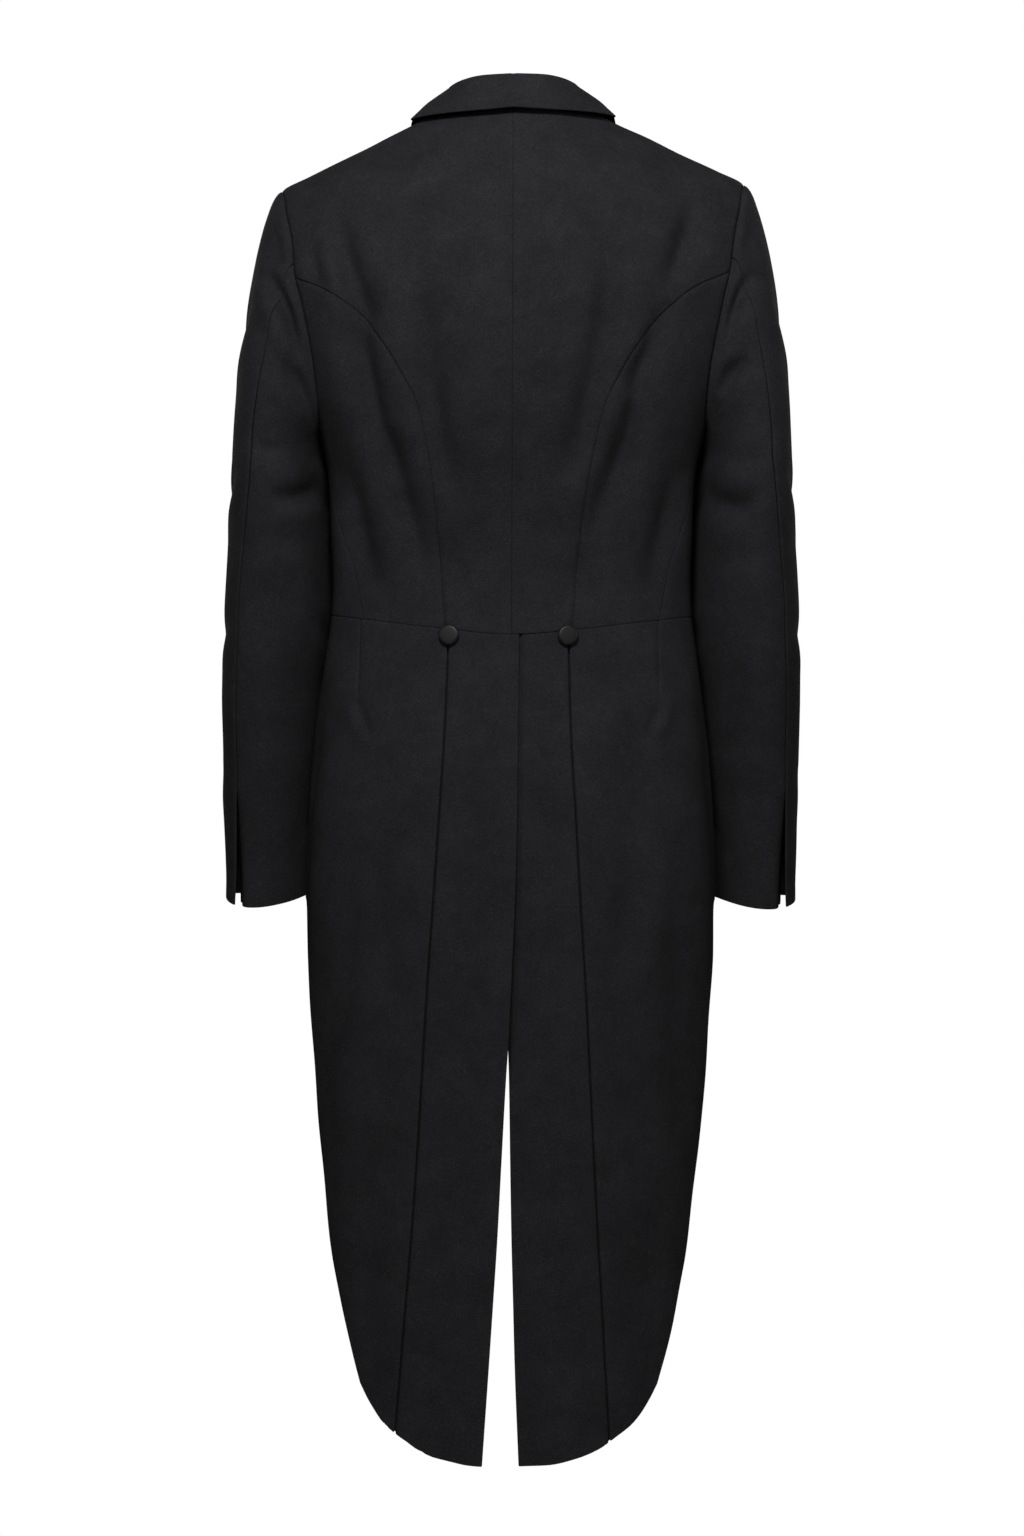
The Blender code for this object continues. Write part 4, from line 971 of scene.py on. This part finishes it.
def ring_angle(at, height):
    """The angle round the sleeve's oval: even steps from the hindarm to the forearm, and others
    from there back to it, going on past both ends."""
    hind = column(HINDARM_SEAM, "angle", height)
    over_count = ROUND_AT - FOREARM_AT
    under = np.clip(at, 0, FOREARM_AT) + np.clip(at - ROUND_AT, 0, None)
    over = np.clip(at - FOREARM_AT, 0, over_count) + np.clip(at, None, 0)
    over_turn = hind + 360 - FOREARM_ANGLE
    return hind + under * (FOREARM_ANGLE - hind) / FOREARM_AT + over * over_turn / over_count


def sleeve_ring(heights, angles):
    """Points of the left sleeve's turned ovals, by angle from the outer side over the back."""
    size = {name: column(SLEEVE_SECTIONS, name, heights) for name in SLEEVE_SECTIONS}
    turn = np.radians(size["turn"])
    across = size["half_x"] * np.cos(np.radians(angles))
    along = size["half_y"] * np.sin(np.radians(angles))
    x = size["centre_x"] + across * np.cos(turn) + along * np.sin(turn)
    y = size["centre_y"] - across * np.sin(turn) + along * np.cos(turn)
    return np.stack([x, y, np.broadcast_to(heights, x.shape)], axis=-1)


def sleeve_surface(at, share):
    """Points by place round the tube and share of the way down. Up to HEAD_SHARE a cubic curve
    leaves the armhole, along the shoulder at its top and straight down at its foot, and ends
    downward at the bicep; from there on come the ovals."""
    start = np.interp(at, np.arange(-2, ROUND_AT + 3), WRAPPED_ANGLES)
    seam = split(armhole(start))
    edge_normals = body_normals(*seam)
    upness = (np.cos(np.radians(start))[..., None] + 1) / 2
    leaving = unit(LEAVES_AT_FOOT + LEAVES_HIGHER * upness)
    edge = body_points(*seam) + (leaving + edge_normals) * HEAD_STANDOFF
    bicep_height = SLEEVE_SECTIONS["height"][0]
    bicep = sleeve_ring(np.full(np.shape(at), bicep_height), ring_angle(at, bicep_height))
    span = np.linalg.norm(bicep - edge, axis=-1, keepdims=True)
    t = np.clip(share / HEAD_SHARE, 0, 1)[..., None]
    head = cubic(t, edge, bicep, span * HEAD_START_PULL * leaving, span * np.array([0, 0, -1.0]))
    arm_share = np.clip((share - HEAD_SHARE) / (1 - HEAD_SHARE), 0, 1)
    angles = ring_angle(at, bicep_height + arm_share * (CUFF_SIDE_HEIGHT - bicep_height))
    foot = CUFF_SIDE_HEIGHT - CUFF_BACK_DROP * np.clip(np.sin(np.radians(angles)), 0, 1) ** 1.5
    arm = sleeve_ring(bicep_height + arm_share * (foot - bicep_height), angles)
    return np.where((share <= HEAD_SHARE)[..., None], head, arm), leaving, edge_normals


# %% Sizes at the seams of a sleeve, and its directions
VENT_UNDERLAP, CUFF_LIFT, CUFF_REACH = 0.012, 0.0008, 0.012
SEAM_FADE, FOLD_FADE, SHARED_REACH = 0.006, 0.02, 0.012
HINDARM_SEAM_OVER = ("sewn", 0.0003, 0.0011)
HINDARM_SEAM_UNDER = ("under", 0, 0.0005)
HEAD_DEPTH, HEAD_REACH = 0.0020, 0.0026
UNDERARM_BULGE, UNDERARM_HEIGHT, UNDERARM_REACH = 0.0040, -0.302, 0.026
VENT_SINK, VENT_SINK_REACH = 0.0055, 0.006


def sleeve_normals(at, v, points):
    """The cross product of the surface's two slopes, turned away from the middle of the tube."""
    around = sleeve_surface(at + 0.02, v)[0] - sleeve_surface(at - 0.02, v)[0]
    below, above = np.clip(v + 0.004, 0, 1), np.clip(v - 0.004, 0, 1)
    normals = unit(np.cross(around, sleeve_surface(at, below)[0] - sleeve_surface(at, above)[0]))
    tube = sleeve_surface(np.linspace(0, ROUND_AT, 40)[None] + 0 * v[:, :1], v[:, :1] + np.zeros((1, 40)))[0]
    outward = (points - tube.mean(axis=1, keepdims=True)) * normals
    return normals * np.sign(outward.sum(-1, keepdims=True)), unit(around)


# %% The two pieces of each sleeve


def sleeve_piece(node, start_at, end_at, is_under, side):
    """The wall between two seams of the tube, with its allowance at the armhole, its cuff and,
    at the hindarm, its half of the open vent: the under sleeve runs on beneath the top one."""
    seams = {"left": HINDARM_SEAM_UNDER, "right": FAINT_SEAM} if is_under else {
        "left": FAINT_SEAM, "right": HINDARM_SEAM_OVER}
    near = {at: stations(kind, VENT_UNDERLAP) for at, (kind, _, _) in seams.items()}
    near |= {"bottom": NEAR_EDGE, "top": stations("free")}
    surface = lambda u, v: sleeve_surface(start_at + u * (end_at - start_at), v)[0]
    u, v, distances = even_grid(surface, ((), [(HEAD_SHARE, PITCH)]), near)
    left, right, from_head, rise = (distances[at] for at in ("left", "right", "bottom", "top"))
    width = (left + right).max(axis=1, keepdims=True)
    at = start_at + (u - np.clip(-left, 0, None) / width) * (end_at - start_at)
    points, leaving, edge_normals = sleeve_surface(at, v)
    normals, around = sleeve_normals(at, v, points)
    agreement = np.clip(((normals * edge_normals).sum(-1, keepdims=True) - 0.1) / 0.6, 0, 1)
    agreement = agreement * bell(from_head, SEAM_FADE)[..., None]
    normals = unit(normals * (1 - agreement) + edge_normals * agreement)

    above_cuff = np.clip(1 - rise / VENT_LENGTH, 0, 1)
    if not is_under:
        points = points - around * (VENT_OPENING * above_cuff * bell(right, SEAM_FADE))[..., None]
    points, normals = on_side(points, side), on_side(normals, side)
    relief = np.minimum(*(edge_relief(seams[at][0], distances[at], *seams[at][1:]) for at in seams))
    if is_under:
        relief -= VENT_SINK * above_cuff**0.6 * bell(np.clip(left, 0, None), VENT_SINK_REACH)
    inward = soft_step(-normals[..., 0] * side * 1.6)
    relief += UNDERARM_BULGE * inward * bell(points[..., 2] - UNDERARM_HEIGHT, UNDERARM_REACH)
    fold = drape(points, normals, SLEEVES_FROM_BEHIND, SLEEVES_FROM_THE_FRONT, SLEEVES_FROM_THE_SIDE)
    fold *= soft_step(from_head / FOLD_FADE)
    seam_points = on_side(sleeve_surface(at, 0 * v)[0], side)
    seam_normals = on_side(edge_normals, side)
    shared = drape(seam_points, seam_normals, SEEN_FROM_BEHIND, SEEN_FROM_THE_FRONT, SIDES_OF_THE_SKIRT)
    shared = shared * bell(from_head, SHARED_REACH)
    shared -= HEAD_DEPTH * bell(from_head, HEAD_REACH) * pressed_flat(seam_normals)
    cuff = CUFF_LIFT * bell(rise, CUFF_REACH)
    points = points + normals * (relief + fold + cuff)[..., None] + seam_normals * shared[..., None]

    leaving = on_side(leaving[0], side)
    allowance = [
        points[0] - leaving * back - seam_normals[0] * below for back, below in zip(*ALLOWANCE.values())
    ]
    wall(node, np.concatenate([allowance, points]), np.concatenate([[normals[0]] * len(allowance), normals]))


for side, label in SIDES:
    sleeve_piece(f"under_sleeve_{label}", 0, FOREARM_AT, True, side)
    sleeve_piece(f"top_sleeve_{label}", FOREARM_AT, ROUND_AT, False, side)

# %% [markdown]
# ## Collar
# A collar is one strip of cloth over canvas, folded: the stand rises from the neck seam, and the
# fall rolls over and lies just off the back. A profile of eleven points, which changes along a
# path round the neck, gives it, and a spline through those points makes the roll round.

# %% The collar
COLLAR_ROWS = table("seam_girth seam_height fold_x fold_y fold_z edge_girth edge_height edge_lift", """
        0   0    0  60 42.7     0 8.8 8.5 |  0.25   0 26.4  55   42   0.3 6.2 8.4
      0.5   0   44  42 39.5  0.55 4.6 7.8 |  0.75   0 54.5  23 35.2   0.8 3.6 6.6
        1  18   59   2   29     1 5.6 4.8 |  1.22  10 60.5 -18   20  1.22   1 3.6
      1.4   0 61.2 -35    8  1.39 -10 3.6 |  1.56 -14   61 -50   -8  1.51 -25 3.6
     1.66 -29 60.5 -62  -25  1.59 -42 3.6 | 1.713 -43   60 -71  -40 1.635 -56 3.6
""")
COLLAR_HALF_FOLD, COLLAR_FALL_BULGE, COLLAR_SEAM_RISE = 0.0020, 0.0008, 0.0004
COLLAR_ALLOWANCE, COLLAR_TUCK, COLLAR_FOOT_TUCK = 0.005, 0.0006, 0.0024
COLLAR_HALF_STEPS, COLLAR_PROFILE_STEPS = 76, 44
GROOVE_DEPTH, GROOVE_REACH = 0.0004, 0.0011


def grid_normals(grid, at, backward):
    """The cross product of the grid's two slopes, so that one point of it faces back or front."""
    normals = unit(np.cross(np.gradient(grid, axis=0), np.gradient(grid, axis=1)))
    return normals if (normals[at][1] > 0) == backward else -normals


def collar():
    """Seam, fold and edge are read along the collar's table, and the profile is hung on them."""
    count = len(COLLAR_ROWS["seam_girth"])
    at = np.linspace(0, count - 1, COLLAR_HALF_STEPS + 1)
    row = {name: smooth(np.arange(count), values, at) for name, values in COLLAR_ROWS.items()}
    behind = row["seam_girth"] <= 1
    seam_height = np.where(behind, neck_height(row["seam_girth"]), row["seam_height"])
    front_girth = girth_at(column(FRONT_EDGE, "x", seam_height), seam_height, front=True)
    seam = body_points(np.where(behind, row["seam_girth"], front_girth), seam_height)
    fold = np.stack([row["fold_x"], row["fold_y"], row["fold_z"]], axis=-1)
    edge = body_points(row["edge_girth"], row["edge_height"])
    edge = edge + body_normals(row["edge_girth"], row["edge_height"]) * row["edge_lift"][:, None]
    rise = unit(fold - seam)
    outward = unit(np.cross(rise, unit(np.gradient(fold, axis=0))))
    outward *= np.sign((outward * (edge - fold)).sum(-1, keepdims=True))
    half, bulge = COLLAR_HALF_FOLD, COLLAR_FALL_BULGE
    foot = seam + rise * COLLAR_SEAM_RISE - outward * CLOTH / 2
    drop, fall = rise * half * 1.5, edge - fold
    profile = np.array([
        foot - rise * COLLAR_ALLOWANCE - outward * COLLAR_FOOT_TUCK,
        foot - outward * COLLAR_TUCK,
        foot * 0.55 + (fold - outward * half - drop) * 0.45 - outward * COLLAR_TUCK,
        fold - outward * half - drop,
        fold - outward * half * 0.75 - rise * half * 0.45,
        fold,
        fold + outward * half * 0.85 - rise * half * 0.45,
        fold + outward * half * 1.3 - drop,
        fold + fall * 0.50 + outward * (half * 0.8 + bulge),
        fold + fall * 0.78 + outward * (half * 0.3 + bulge * 0.7),
        edge,
    ])
    grid = through(profile, np.linspace(0, len(profile) - 1, COLLAR_PROFILE_STEPS))
    grid = np.concatenate([on_side(grid[:, :0:-1], -1), grid], axis=1)
    normals = grid_normals(grid, (-4, grid.shape[1] // 2), True)
    groove = GROOVE_DEPTH * bell(grid[..., 0], GROOVE_REACH) * (grid[..., 1] > 0)
    wall("collar", grid - normals * groove[..., None], normals)


collar()

# %% [markdown]
# ## Lapels
# A tailcoat's lapels are peaked and faced in ribbed silk. Each rolls over at the opening edge and
# lies back on the forepart, so its surface is the forepart's own form moved out, with a short
# round stretch at the roll. They are hidden in a back view, and kept plain.

# %% The lapels
LAPEL_FREE_EDGE = table("height x", """
    -400  35 | -360  53 | -300  79 | -230 102 | -170 118 | -120 129 |  -83 136 |  -56 141
""")
LAPEL_TOP = table("x height", """
     62 -48 |  76 -56 |  88 -63 |  96 -67 | 118 -64 | 141 -56
""")
LAPEL_LIFT, LAPEL_ROLL_LIFT, LAPEL_ROLL_REACH = 0.0032, 0.0065, 0.0022
LAPEL_ROWS, LAPEL_ACROSS, LYING_FROM = 120, 60, 8
NOTCH_SHARE = 0.5


def lapel(side, label):
    """The lying part is the surface between four edges in the front view, put on the form and
    lifted; the roll is a spline through five points at the opening edge."""
    share, across = np.linspace(0, 1, LAPEL_ROWS + 1), np.linspace(0, 1, LAPEL_ACROSS + 1)
    heights = LAPEL_FOOT_HEIGHT + share * (LAPEL_TOP["height"][0] - LAPEL_FOOT_HEIGHT)
    left = np.stack([column(FRONT_EDGE, "x", heights), heights], axis=-1)
    low, high = LAPEL_FREE_EDGE["height"][[0, -1]]
    free_heights = low + share * (high - low)
    right = np.stack([column(LAPEL_FREE_EDGE, "x", free_heights), free_heights], axis=-1)
    top_x = np.interp(across, [0, NOTCH_SHARE, 1], LAPEL_TOP["x"][[0, 3, -1]])
    top = np.stack([top_x, np.interp(top_x, LAPEL_TOP["x"], LAPEL_TOP["height"])], axis=-1)
    foot_x = left[0, 0] + across * (right[0, 0] - left[0, 0])
    bottom = pairs(foot_x, LAPEL_FOOT_HEIGHT)
    left[-1] = top[0]
    u, v = np.meshgrid(across, share)
    x, z = split(between_edges(whole(left), whole(right), whole(bottom), whole(top), u, v))
    girth = girth_at(x, z, front=True)
    normals, surface = body_normals(girth, z), body_points(girth, z)
    lift = LAPEL_LIFT + (LAPEL_ROLL_LIFT - LAPEL_LIFT) * (1 - across) ** 2
    lying = surface + normals * lift[None, :, None]
    edge, level = surface[:, 0], normals[:, 0]
    toward_centre = unit(edge - surface[:, LYING_FROM])
    knots = np.array([
        edge + toward_centre * (CLOTH + 0.0004) - level * CLOTH * 0.5,
        edge + toward_centre * (CLOTH + LAPEL_ROLL_REACH) + level * LAPEL_ROLL_LIFT * 0.45,
        edge + toward_centre * (CLOTH * 0.5) + level * LAPEL_ROLL_LIFT * 0.9,
        lying[:, LYING_FROM],
        lying[:, 2 * LYING_FROM],
    ])
    roll = through(knots, np.linspace(0, 3, 22)[:-1]).swapaxes(0, 1)
    grid = np.concatenate([roll, lying[:, LYING_FROM:]], axis=1)
    facing = grid_normals(grid, (LAPEL_ROWS // 2, -8), False)
    wall(f"lapel_{label}", on_side(grid, side), on_side(facing, side))


for side, label in SIDES:
    lapel(side, label)

# %% [markdown]
# ## Waist buttons
# A covered button is cloth drawn over a low metal dome, round at its rim, which catches a little
# light. A turned profile gives it: the same few points carried round the axis, as on a lathe.

# %% The buttons
BUTTON_RADIUS = 0.0091
BUTTON_X, BUTTON_HEIGHT, BUTTON_STANDOFF = 0.0512, -0.4472, 0.0007
BUTTON_TURNS, BUTTON_STEPS = 120, 57
BUTTON_PROFILE = table("radius out", """
       0 4.12 |    2 4.11 |    4 4.08 |    6 4.02 |  7.3 3.92 |  8.1 3.58 | 8.65    3 |    9  2.3
     9.1  1.7 |  8.9    1 |    8  0.3 |  6.5 0.05 |    3    0 |    0    0
""")


def button(side, label):
    """The profile, read as a spline, turned about the cloth's outward direction; poles are closed
    by a single point and a fan of triangles."""
    girth = girth_at(BUTTON_X + sideways(BUTTON_HEIGHT, side), BUTTON_HEIGHT)
    axis = on_side(body_normals(girth, BUTTON_HEIGHT), side)
    seat = on_side(body_points(girth, BUTTON_HEIGHT), side) + axis * BUTTON_STANDOFF
    up = unit(np.array([0, 0, 1.0]) - axis * axis[2])
    across = np.cross(up, axis)
    knots = np.stack([*BUTTON_PROFILE.values()], axis=-1)
    radius, out = through(knots, np.linspace(0, len(knots) - 1, BUTTON_STEPS)[1:-1]).T[..., None, None]
    turn = np.linspace(0, 2 * np.pi, BUTTON_TURNS, endpoint=False)[None, :, None]
    ring = np.cos(turn) * across + np.sin(turn) * up
    points = seat + np.clip(radius, 0, BUTTON_RADIUS) * ring + out * axis
    poles = seat + knots[[0, -1], 1:] * axis
    index = np.arange(points.shape[0] * BUTTON_TURNS).reshape(-1, BUTTON_TURNS)
    ahead = np.roll(index, -1, axis=1)
    quads = np.stack([index[:-1], index[1:], ahead[1:], ahead[:-1]], axis=-1).reshape(-1, 4)
    top = np.full(BUTTON_TURNS, index.size)
    fans = np.stack([top, index[0], ahead[0]], axis=-1), np.stack([top + 1, ahead[-1], index[-1]], axis=-1)
    triangles = np.concatenate([quads[:, [0, 1, 2]], quads[:, [0, 2, 3]], *fans])
    flat = settled(np.concatenate([points.reshape(-1, 3), poles]))
    weave = (flat - seat) @ np.stack([across, up], axis=-1)
    node = f"waist_button_{label}"
    PIECES[node] = mesh_object(f"cloth_{node}", flat, triangles, weave)


for side, label in SIDES:
    button(side, label)

# %% [markdown]
# ## Cloth
# Milled wool is a fine twill that has been felted, so the weave hardly shows: short fibres lie
# over it in all directions, the dye takes unevenly in soft clouds, and the nap scatters light.
# Noise at five scales gives those, in the object's own space, so that it runs across the seams.
# The twill below it follows the weave map, in metres along weft and warp.

# %% Node helpers
NODE_STEP = 220


def new_material(name):
    """A material made of nodes, and its node tree."""
    made = bpy.data.materials.new(name)
    made.use_nodes = True
    return made, made.node_tree


def set_inputs(node, inputs):
    """An input takes a value, or the socket that it is linked to."""
    for name, value in inputs.items():
        if isinstance(value, bpy.types.NodeSocket):
            node.id_data.links.new(value, node.inputs[name])
        else:
            node.inputs[name].default_value = value


def add(tree, kind, inputs=None, **settings):
    """A new node with its settings and its inputs."""
    node = tree.nodes.new(kind)
    node.location = (-NODE_STEP * (len(tree.nodes) % 9), -NODE_STEP * (len(tree.nodes) // 9))
    for name, value in settings.items():
        setattr(node, name, value)
    set_inputs(node, inputs or {})
    return node


# %% Patterns, and how they come together


def noise(tree, scale, detail, roughness=0.55):
    """Noise from 0 to 1 in the object's own space."""
    where = add(tree, "ShaderNodeTexCoord").outputs["Object"]
    inputs = {"Vector": where, "Scale": scale, "Detail": detail, "Roughness": roughness}
    return add(tree, "ShaderNodeTexNoise", inputs).outputs["Fac"]


def bands(tree, scale, distortion, direction):
    """Threads along a direction of the weave map."""
    weave = add(tree, "ShaderNodeUVMap", uv_map="weave").outputs["UV"]
    inputs = {"Vector": weave, "Scale": scale, "Distortion": distortion}
    node = add(tree, "ShaderNodeTexWave", inputs, wave_type="BANDS", bands_direction=direction)
    return node.outputs["Fac"]


def ranged(tree, value, low, high, to_low, to_high):
    """A value carried in a straight line from one range to another."""
    ends = {"From Min": low, "From Max": high, "To Min": to_low, "To Max": to_high}
    return add(tree, "ShaderNodeMapRange", {"Value": value, **ends}).outputs["Result"]


def around_one(tree, value, spread):
    """Noise made a factor on both sides of 1."""
    return ranged(tree, value, 0.3, 0.7, 1 - spread, 1 + spread)


def times(tree, a, b, operation="MULTIPLY"):
    """The product of two values, or what another operation makes of them."""
    return add(tree, "ShaderNodeMath", {0: a, 1: b}, operation=operation).outputs[0]


def finish(tree, colour, share, height, bump, roughness, specular):
    """The base colour times a share, a bump of some strength and metres, and two constants."""
    mixed = add(tree, "ShaderNodeMix", {"Factor": 1.0, "A": colour, "B": share},
                data_type="RGBA", blend_type="MULTIPLY")
    raised = add(tree, "ShaderNodeBump", {"Height": height, "Strength": bump[0], "Distance": bump[1]})
    set_inputs(tree.nodes["Principled BSDF"], {
        "Base Color": mixed.outputs["Result"], "Normal": raised.outputs["Normal"],
        "Roughness": roughness, "Specular IOR Level": specular,
    })


# %% The wool, the lapels' silk and the buttons' cloth
WOOL_COLOUR = (0.0186, 0.0185, 0.0204, 1.0)
SATIN_COLOUR = (0.0120, 0.0120, 0.0130, 1.0)
BUTTON_COLOUR = (0.0112, 0.0112, 0.0120, 1.0)
FIBRE_LIGHT = 0.45


def wool():
    """Clouds times mottle times nap, plus thin light fibres where a noise crosses its middle."""
    made, tree = new_material("black_wool")
    clouds = around_one(tree, noise(tree, 28.0, 3.0), 0.13)
    mottle = around_one(tree, noise(tree, 90.0, 2.0), 0.07)
    nap = noise(tree, 900.0, 2.0, 0.7)
    away = times(tree, times(tree, noise(tree, 380.0, 1.0, 0.5), 0.5, "SUBTRACT"), 0.0, "ABSOLUTE")
    patch = ranged(tree, noise(tree, 400.0, 1.0), 0.38, 0.56, 0.0, FIBRE_LIGHT)
    fibres = times(tree, ranged(tree, away, 0.0, 0.05, 1.0, 0.0), patch)
    grain = times(tree, around_one(tree, nap, 0.32), fibres, "ADD")
    twill = times(tree, bands(tree, 260.0, 0.6, "DIAGONAL"), 0.25)
    height = times(tree, times(tree, nap, fibres, "ADD"), twill, "ADD")
    share = times(tree, times(tree, clouds, mottle), grain)
    finish(tree, WOOL_COLOUR, share, height, (0.45, 0.0006), 0.92, 0.06)
    return made


def satin():
    """A smooth sheen over fine ribs, with a faint slub in its colour."""
    made, tree = new_material("black_satin")
    slub = around_one(tree, noise(tree, 240.0, 3.0), 0.1)
    finish(tree, SATIN_COLOUR, slub, bands(tree, 330.0, 0.4, "Y"), (0.3, 0.0002), 0.42, 0.35)
    return made


def button_cloth():
    """Fine cloth drawn tight: a small grain, and a twill that hardly rises."""
    made, tree = new_material("covered_button")
    grain = around_one(tree, noise(tree, 1400.0, 2.0), 0.2)
    twill = bands(tree, 420.0, 0.0, "DIAGONAL")
    finish(tree, BUTTON_COLOUR, grain, twill, (0.05, 0.0001), 0.36, 0.15)
    return made


FINISHES = {"black_wool": wool(), "black_satin": satin(), "covered_button": button_cloth()}

# %% [markdown]
# ## What each piece is
# Every cloth piece stands for one wall of the frame and rides with it. A table lists the size that
# each was cut to: its widest and longest measure on the flat, and its area; the loop reads it, and
# nothing more is done with those sizes.

# %% Bind the pieces to the frame
CUTS = {
    "back": (0.229, 0.608, 0.0600, ["front"]),
    "side_back": (0.165, 0.371, 0.0283, ["back", "front"]),
    "front": (0.241, 0.606, 0.0789, ["back", "side_back"]),
    "tail_side": (0.240, 0.715, 0.0986, ["side_back", "front"]),
    "tail_centre_left": (0.078, 0.736, 0.0511, ["back_left"]),
    "tail_centre_right": (0.092, 0.737, 0.0561, ["back_right"]),
    "under_sleeve": (0.258, 0.574, 0.0694, ["side_back", "front"]),
    "top_sleeve": (0.286, 0.632, 0.1025, ["back", "front"]),
    "collar": (0.38, 0.07, 0.0226, ["back_left", "back_right"]),
    "lapel": (0.11, 0.36, 0.0231, ["front"]),
}
for node, piece in PIECES.items():
    stem, _, label = node.rpartition("_")
    slot = {"lapel": "black_satin", "waist_button": "covered_button"}.get(stem, "black_wool")
    piece.data.materials.append(FINISHES[slot])
    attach(piece, "root")
    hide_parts(node)
    cut = CUTS.get(node) or CUTS.get(stem)
    if cut:
        width, length, area, rests = cut
        rests = [name if name in frame["nodes"] else f"{name}_{label}" for name in rests]
print("pieces:", len(PIECES))

# %% [markdown]
# ## Studio
# The coat hangs in a white studio. The sky is white to the eye alone and dim as a light, since a
# black coat shows no white light on it. A soft box above the camera is the key, a low one fills
# the tails, and two pairs at the sides keep the sleeves and the front from going black.

# %% Floor and sky
FLOOR_HEIGHT, FLOOR_RADIUS = -1.45, 1.45
WORLD_FILL = 0.03
CAMERA_PLACE = (-0.0009, 5.0, -0.5614)
CAMERA_LENS, CAMERA_SENSOR, CAMERA_ROLL = 133.2, 36.0, 0.2


def floor():
    """A round pale floor: corners on a circle, and one face."""
    turn = np.linspace(0, 2 * np.pi, 128, endpoint=False)
    points = np.stack([np.cos(turn), np.sin(turn), 0 * turn], axis=-1) * FLOOR_RADIUS
    points[:, 2] = FLOOR_HEIGHT
    made = mesh_object("floor", points, np.arange(len(turn))[None])
    material, tree = new_material("pale_floor")
    set_inputs(tree.nodes["Principled BSDF"], {
        "Base Color": (0.90, 0.90, 0.90, 1.0), "Roughness": 0.9, "Specular IOR Level": 0.0,
        "Emission Color": (1.0, 1.0, 1.0, 1.0), "Emission Strength": 0.5,
    })
    made.data.materials.append(material)
    made.visible_diffuse = made.visible_glossy = False


def sky():
    """White to the eye, and a dimmer even light on the cloth."""
    world = bpy.data.worlds.new("white_studio")
    bpy.context.scene.world = world
    world.use_nodes = True
    tree = world.node_tree
    seen = add(tree, "ShaderNodeLightPath").outputs["Is Camera Ray"]
    strength = ranged(tree, seen, 0.0, 1.0, WORLD_FILL, 1.0)
    set_inputs(tree.nodes["Background"], {"Color": (1.0, 1.0, 1.0, 1.0), "Strength": strength})


# %% Lamps and camera


def placed(name, data, turn, place):
    """An object for a light or a camera, turned and then moved."""
    made = bpy.data.objects.new(name, data)
    made.matrix_world = Matrix.Translation(place) @ turn.to_matrix().to_4x4()
    bpy.context.scene.collection.objects.link(made)
    return made


def lamp(name, power, size, place, target):
    """A soft box, which shines at a point of the coat and isn't seen itself."""
    light = bpy.data.lights.new(name, "AREA")
    light.shape = "RECTANGLE"
    light.size, light.size_y = size
    light.energy = power
    turn = (Vector(target) - Vector(place)).to_track_quat("-Z", "Y")
    placed(name, light, turn, place).visible_camera = False


def camera():
    """A long lens straight behind the coat, turned a little about its own axis."""
    data = bpy.data.cameras.new("camera")
    data.sensor_fit = "VERTICAL"
    data.sensor_height = CAMERA_SENSOR
    data.lens = CAMERA_LENS
    level = Euler((np.pi / 2, 0, np.pi)).to_quaternion()
    roll = Euler((0, 0, np.radians(CAMERA_ROLL))).to_quaternion()
    bpy.context.scene.camera = placed("camera", data, level @ roll, CAMERA_PLACE)


floor()
sky()
lamp("key", 19, (0.4, 0.3), (0.10, 1.20, 0.74), (0, 0, -0.45))
lamp("low", 4.5, (1.0, 0.4), (0.02, 1.25, -1.30), (0, 0, -0.90))
for (side, label), watts in zip(SIDES, (2.5, 4.2)):
    lamp(f"back_{label}", watts, (0.6, 0.7), (side * 1.25, 0.62, 0.25), (0, 0, -0.40))
    lamp(f"front_{label}", 5, (0.7, 0.5), (side * 0.95, -1.10, 0.15), (0, 0, -0.20))
camera()
bpy.context.scene.view_settings.view_transform = "Standard"

# %% [markdown]
# ## The end
# The dressed coat has to stay in the frame's box.

# %% Finish
import json
